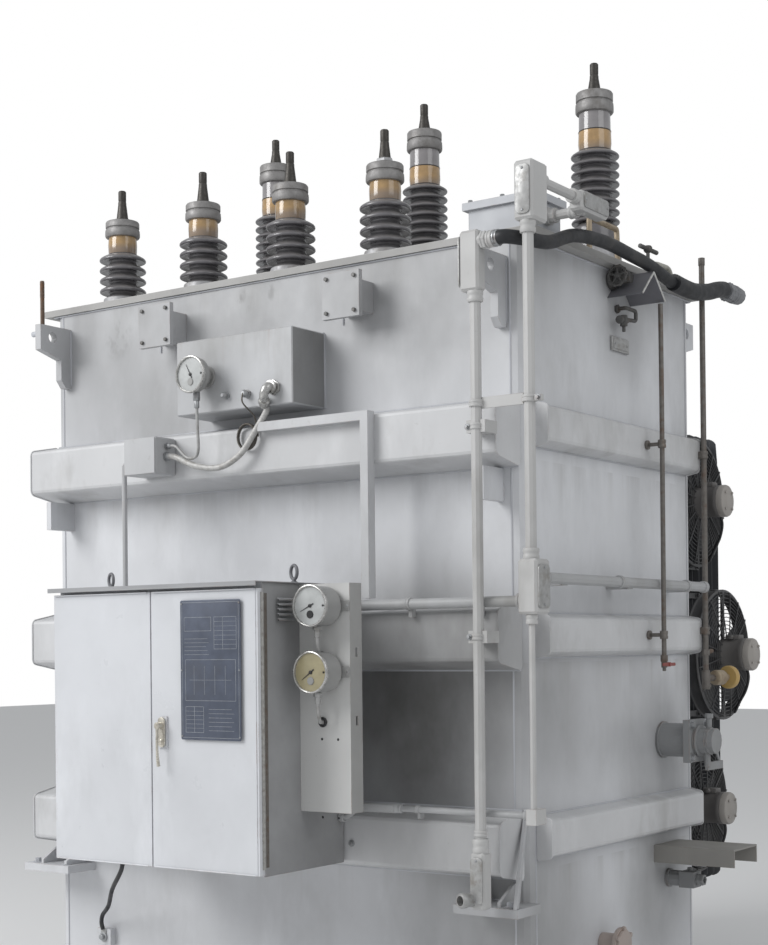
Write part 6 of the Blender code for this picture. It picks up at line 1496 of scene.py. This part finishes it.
def pressed_panel():
    """One radiator panel lying flat: a sheet whose flutes are pressed out to both sides."""
    clear_bench()
    bpy.ops.mesh.primitive_grid_add(x_subdivisions=FLUTES * 4, y_subdivisions=8, size=1.0)
    sheet = bpy.context.object
    sheet.scale = (PANEL_WIDE, PANEL_TOP - PANEL_FOOT, 1.0)
    bpy.ops.object.transform_apply(location=False, rotation=False, scale=True)
    half_w, half_h = PANEL_WIDE / 2, (PANEL_TOP - PANEL_FOOT) / 2
    rows = sorted({round(v.co.y, 4) for v in sheet.data.vertices})
    levels = [-half_h, -half_h + 0.022, -half_h + 0.110, -half_h + 0.150, 0.0, half_h - 0.150, half_h - 0.110,
              half_h - 0.022, half_h]
    for vertex in sheet.data.vertices:
        vertex.co.y = levels[min(range(len(rows)), key=lambda k: abs(rows[k] - vertex.co.y))]
    thick = sheet.modifiers.new("two_sheets", "SOLIDIFY")
    thick.thickness = 0.0030
    thick.offset = 0.0
    bpy.ops.object.modifier_apply(modifier="two_sheets")
    rim = 0.014
    for vertex in sheet.data.vertices:
        x, y = vertex.co.x, vertex.co.y
        edge = min(half_w - abs(x), half_h - abs(y))
        if edge < rim:
            continue
        across = (x + half_w - rim) / (2 * half_w - 2 * rim) * FLUTES
        wave = abs(math.sin(math.pi * across))
        lift = FLUTE_DEEP * (0.35 if abs(y) > half_h - 0.120 else 0.25 + 0.75 * wave)
        vertex.co.z += math.copysign(lift, vertex.co.z)
    corner_r = 0.050
    corner_x, corner_y = half_w - corner_r, half_h - corner_r
    for vertex in sheet.data.vertices:
        if abs(vertex.co.x) > corner_x and abs(vertex.co.y) > corner_y:
            off = Vector((abs(vertex.co.x) - corner_x, abs(vertex.co.y) - corner_y))
            if off.length > corner_r:
                off = off.normalized() * corner_r
                vertex.co.x = math.copysign(corner_x + off.x, vertex.co.x)
                vertex.co.y = math.copysign(corner_y + off.y, vertex.co.y)
    bpy.ops.object.shade_smooth_by_angle(angle=math.radians(50))
    return sheet


panel_places = [PANEL_FROM + k * PANEL_PITCH for k in range(PANEL_COUNT)]
last = panel_places[-1]
for number in (1, 2, 3):
    low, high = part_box(f"radiator_{number}")
    middle, near = (low[0] + high[0]) / 2, low[1]
    bank = copies(pressed_panel(), [(middle, y, (PANEL_TOP + PANEL_FOOT) / 2) for y in panel_places], FORWARD)
    for z in (2.370, 0.510):
        bank.append(round_bar((middle, near + 0.0005, z), (middle, min(high[1], last + 0.012), z), 0.042,
                              28, 0.003))
        bank.append(round_bar((middle, near + 0.0003, z), (middle, near + 0.030, z), 0.068, 32, 0.002))
        bank += [collar((middle, y - 0.012, z), BACK, 0.0465, 0.024, 24) for y in panel_places]
        nuts = [(middle + dx, near + 0.0295, z + dz) for dx, dz in in_circle(4, 0.056)]
        bank += copies(hex_bolt(0.020, False), nuts, BACK)
    for x in (middle - 0.200, middle + 0.200):
        bank += [round_bar((x, PANEL_FROM, z), (x, last, z), 0.0060, 10) for z in (1.440, 1.900, 0.960)]
    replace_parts(keep(weld_up(bank), f"radiator_{number}_panels", radiator_paint),
                f"radiator_{number}")

# FANS
# Three fans clamped to the side of the radiators: a rolled ring, a wire guard, a motor on four
# bars with a pale terminal cap, and a rotor of five pressed blades on a hub.
fan_paint = old_paint("fan_paint", (0.062, 0.062, 0.064), grime=0.5, rust=0.4, gloss=0.5, chips=False)
motor_paint = old_paint("motor_paint", (0.145, 0.138, 0.134), grime=0.5, rust=0.4, gloss=0.5, chips=False)
pale_cap = old_paint("pale_motor_cap", (0.370, 0.345, 0.320), grime=0.9, rust=0.5, gloss=0.5, chips=False)
BAND, FAN_Y, BAR, BAR_THICK, BAR_LONG = 0.060, 1.080, 0.020, 0.012, 0.265
GUARD_DOME, GUARD_R, MOTOR_LONG = 0.0130, 0.262, 0.155
ring_profile = [(0.2600, 0.003), (0.2600, 0.057), (0.2625, 0.060), (0.2690, 0.060), (0.2735, 0.057),
                (0.2735, 0.053),
                (0.2700, 0.050), (0.2685, 0.046), (0.2685, 0.014), (0.2700, 0.010), (0.2735, 0.007),
                (0.2735, 0.003),
                (0.2690, 0.0), (0.2625, 0.0), (0.2600, 0.003)]


def dome_rise(radius):
    """How far the domed guard stands out at a radius."""
    return GUARD_DOME * (1 - (radius / GUARD_R) ** 2)


for number in (1, 2, 3):
    low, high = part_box(f"fan_{number}")
    rotor_low, rotor_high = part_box(f"fan_rotor_{number}")
    axis_z, motor_end, clamp_x = (low[2] + high[2]) / 2, high[0], low[0]
    ring_x0 = 0.9903 if number == 2 else 0.8803
    ring_x1 = ring_x0 + BAND
    frame_parts = [lie_along(lathe(ring_profile, 56), RIGHT, (ring_x0, FAN_Y, axis_z))]
    for half_y, half_z in ((BAR_LONG, BAR / 2), (BAR / 2, BAR_LONG)):
        frame_parts.append(plate_box((ring_x1 - BAR_THICK, FAN_Y - half_y, axis_z - half_z),
                                     (ring_x1, FAN_Y + half_y, axis_z + half_z), 0.002))
    for side in (-1, 1):
        bar_z, leg_z = axis_z + side * 0.260, sorted((axis_z + side * 0.2625, axis_z + side * 0.2745))
        frame_parts += [plate_box((clamp_x + 0.0002, FAN_Y - 0.250, bar_z - 0.015),
                                  (clamp_x + 0.008, FAN_Y + 0.250, bar_z + 0.015), 0.0015, 1),
                        plate_box((clamp_x + 0.006, FAN_Y - 0.020, leg_z[0]),
                                  (ring_x0 + 0.030, FAN_Y + 0.020, leg_z[1]),
                                  0.002, 1)]
        places = [(clamp_x + 0.0078, FAN_Y + y, bar_z) for y in (-0.225, -0.060, 0.060, 0.225)]
        frame_parts += copies(hex_bolt(0.016), places, RIGHT)
    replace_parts(keep(weld_up(frame_parts), f"fan_{number}_ring_and_bars", fan_paint),
                f"fan_{number}")
    wires = []
    for radius in (0.0760 + k * 0.0162 for k in range(12)):
        wires.append(wire_ring(radius, 0.0019, (ring_x1 + 0.0030 + dome_rise(radius), FAN_Y, axis_z),
                               (0, 90, 0), 44, 6))
    for c, d in in_circle(16, 1.0):
        spoke = [(ring_x1 - 0.006, FAN_Y + 0.2660 * c, axis_z + 0.2660 * d),
                 (ring_x1 + 0.004, FAN_Y + 0.2640 * c, axis_z + 0.2640 * d)]
        spoke += [(ring_x1 + 0.0065 + dome_rise(r), FAN_Y + r * c, axis_z + r * d) for r in (0.250, 0.190,
                                                                                             0.130, 0.072)]
        wires.append(drawn_pipe(spoke, 0.0026, 2))
    keep(weld_up(wires), f"fan_{number}_guard", fan_paint)
    motor_at = Vector((motor_end - MOTOR_LONG, FAN_Y, axis_z))
    barrel = lathe([(0.0, 0.0), (0.052, 0.0), (0.0640, 0.004), (0.0672, 0.010), (0.0672, 0.020),
                    (0.0655, 0.0225),
                    (0.0655, 0.100), (0.0672, 0.1025), (0.0672, 0.118), (0.0655, 0.1205), (0.0, 0.1205)], 44)
    terminals = [plate_box((0.030, -0.026, 0.060), (0.092, 0.026, 0.082), 0.004),
                 round_bar((0.061, -0.020, 0.072), (0.061, -0.046, 0.072), 0.0090, 14)]
    for piece in terminals:
        piece.location += motor_at
    keep(weld_up([lie_along(barrel, RIGHT, motor_at)] + terminals), f"fan_{number}_motor", motor_paint)
    end_cap = lathe([(0.0, 0.0325), (0.030, 0.0325), (0.034, 0.0300), (0.056, 0.0300), (0.0645, 0.0260),
                     (0.0676, 0.0190), (0.0676, 0.002), (0.0660, 0.0), (0.0, 0.0)], 44)
    places = [(motor_end - 0.0046, FAN_Y + y, axis_z + z) for y, z in in_circle(4, 0.048)]
    end_cap = weld_up([lie_along(end_cap, RIGHT, (motor_end - 0.0343, FAN_Y, axis_z))]
                      + copies(hex_bolt(0.0095, False), places, RIGHT))
    keep(end_cap, f"fan_{number}_motor_cap", pale_cap)
    feed = drawn_pipe(eased([(x, FAN_Y + out, axis_z - down) for x, out, down in (
        (motor_end - 0.060, 0.040, 0.052), (motor_end - 0.055, 0.052, 0.095),
        (motor_end - 0.075, 0.070, 0.150),
        (ring_x1 + 0.030, 0.090, 0.200), (ring_x1 + 0.006, 0.100, 0.2400),
        (ring_x1 - 0.002, 0.102, 0.2465))], 7), 0.0060, 3)
    keep(feed, f"fan_{number}_feed", black_mark)
    blades = []
    for k in range(5):
        clear_bench()
        bpy.ops.mesh.primitive_grid_add(x_subdivisions=8, y_subdivisions=6, size=1.0)
        blade = bpy.context.object
        for vertex in blade.data.vertices:
            out = 0.040 + (vertex.co.x + 0.5) * 0.198
            wide = 0.048 + 0.052 * min(1.0, (out - 0.040) / 0.120)
            side = vertex.co.y * wide
            pitch = math.radians(34 - 60 * (out - 0.040))
            swept = side * math.cos(pitch)
            tip_round = 0.010 * (2 * vertex.co.y) ** 2 * max(0.0, (out - 0.18) / 0.058)
            vertex.co = (out - tip_round, swept,
                         side * math.sin(pitch) * 0.42 + 0.0035 * (1 - (2 * vertex.co.y) ** 2))
        thick = blade.modifiers.new("sheet", "SOLIDIFY")
        thick.thickness = 0.0020
        thick.offset = 0.0
        bpy.ops.object.modifier_apply(modifier="sheet")
        bpy.ops.object.shade_smooth_by_angle(angle=math.radians(45))
        blade.rotation_euler = (0, 0, math.tau * k / 5 + 0.4)
        blades.append(blade)
    hub = lathe([(0.0, 0.0120), (0.034, 0.0120), (0.046, 0.0090), (0.050, 0.0040), (0.050, -0.0100),
                 (0.0, -0.0100)], 30)
    rotor = weld_up(blades + [hub])
    lie_along(rotor, RIGHT, (rotor_low[0] + 0.0150, FAN_Y, axis_z))
    shaft = round_bar((rotor_low[0] + 0.020, FAN_Y, axis_z), (rotor_high[0] - 0.0003, FAN_Y, axis_z),
                      0.0110, 16)
    rotor = keep(weld_up([rotor, shaft]), f"fan_rotor_{number}_blades", fan_paint,
                 f"rotor_{number}")
    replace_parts(rotor, f"fan_rotor_{number}")
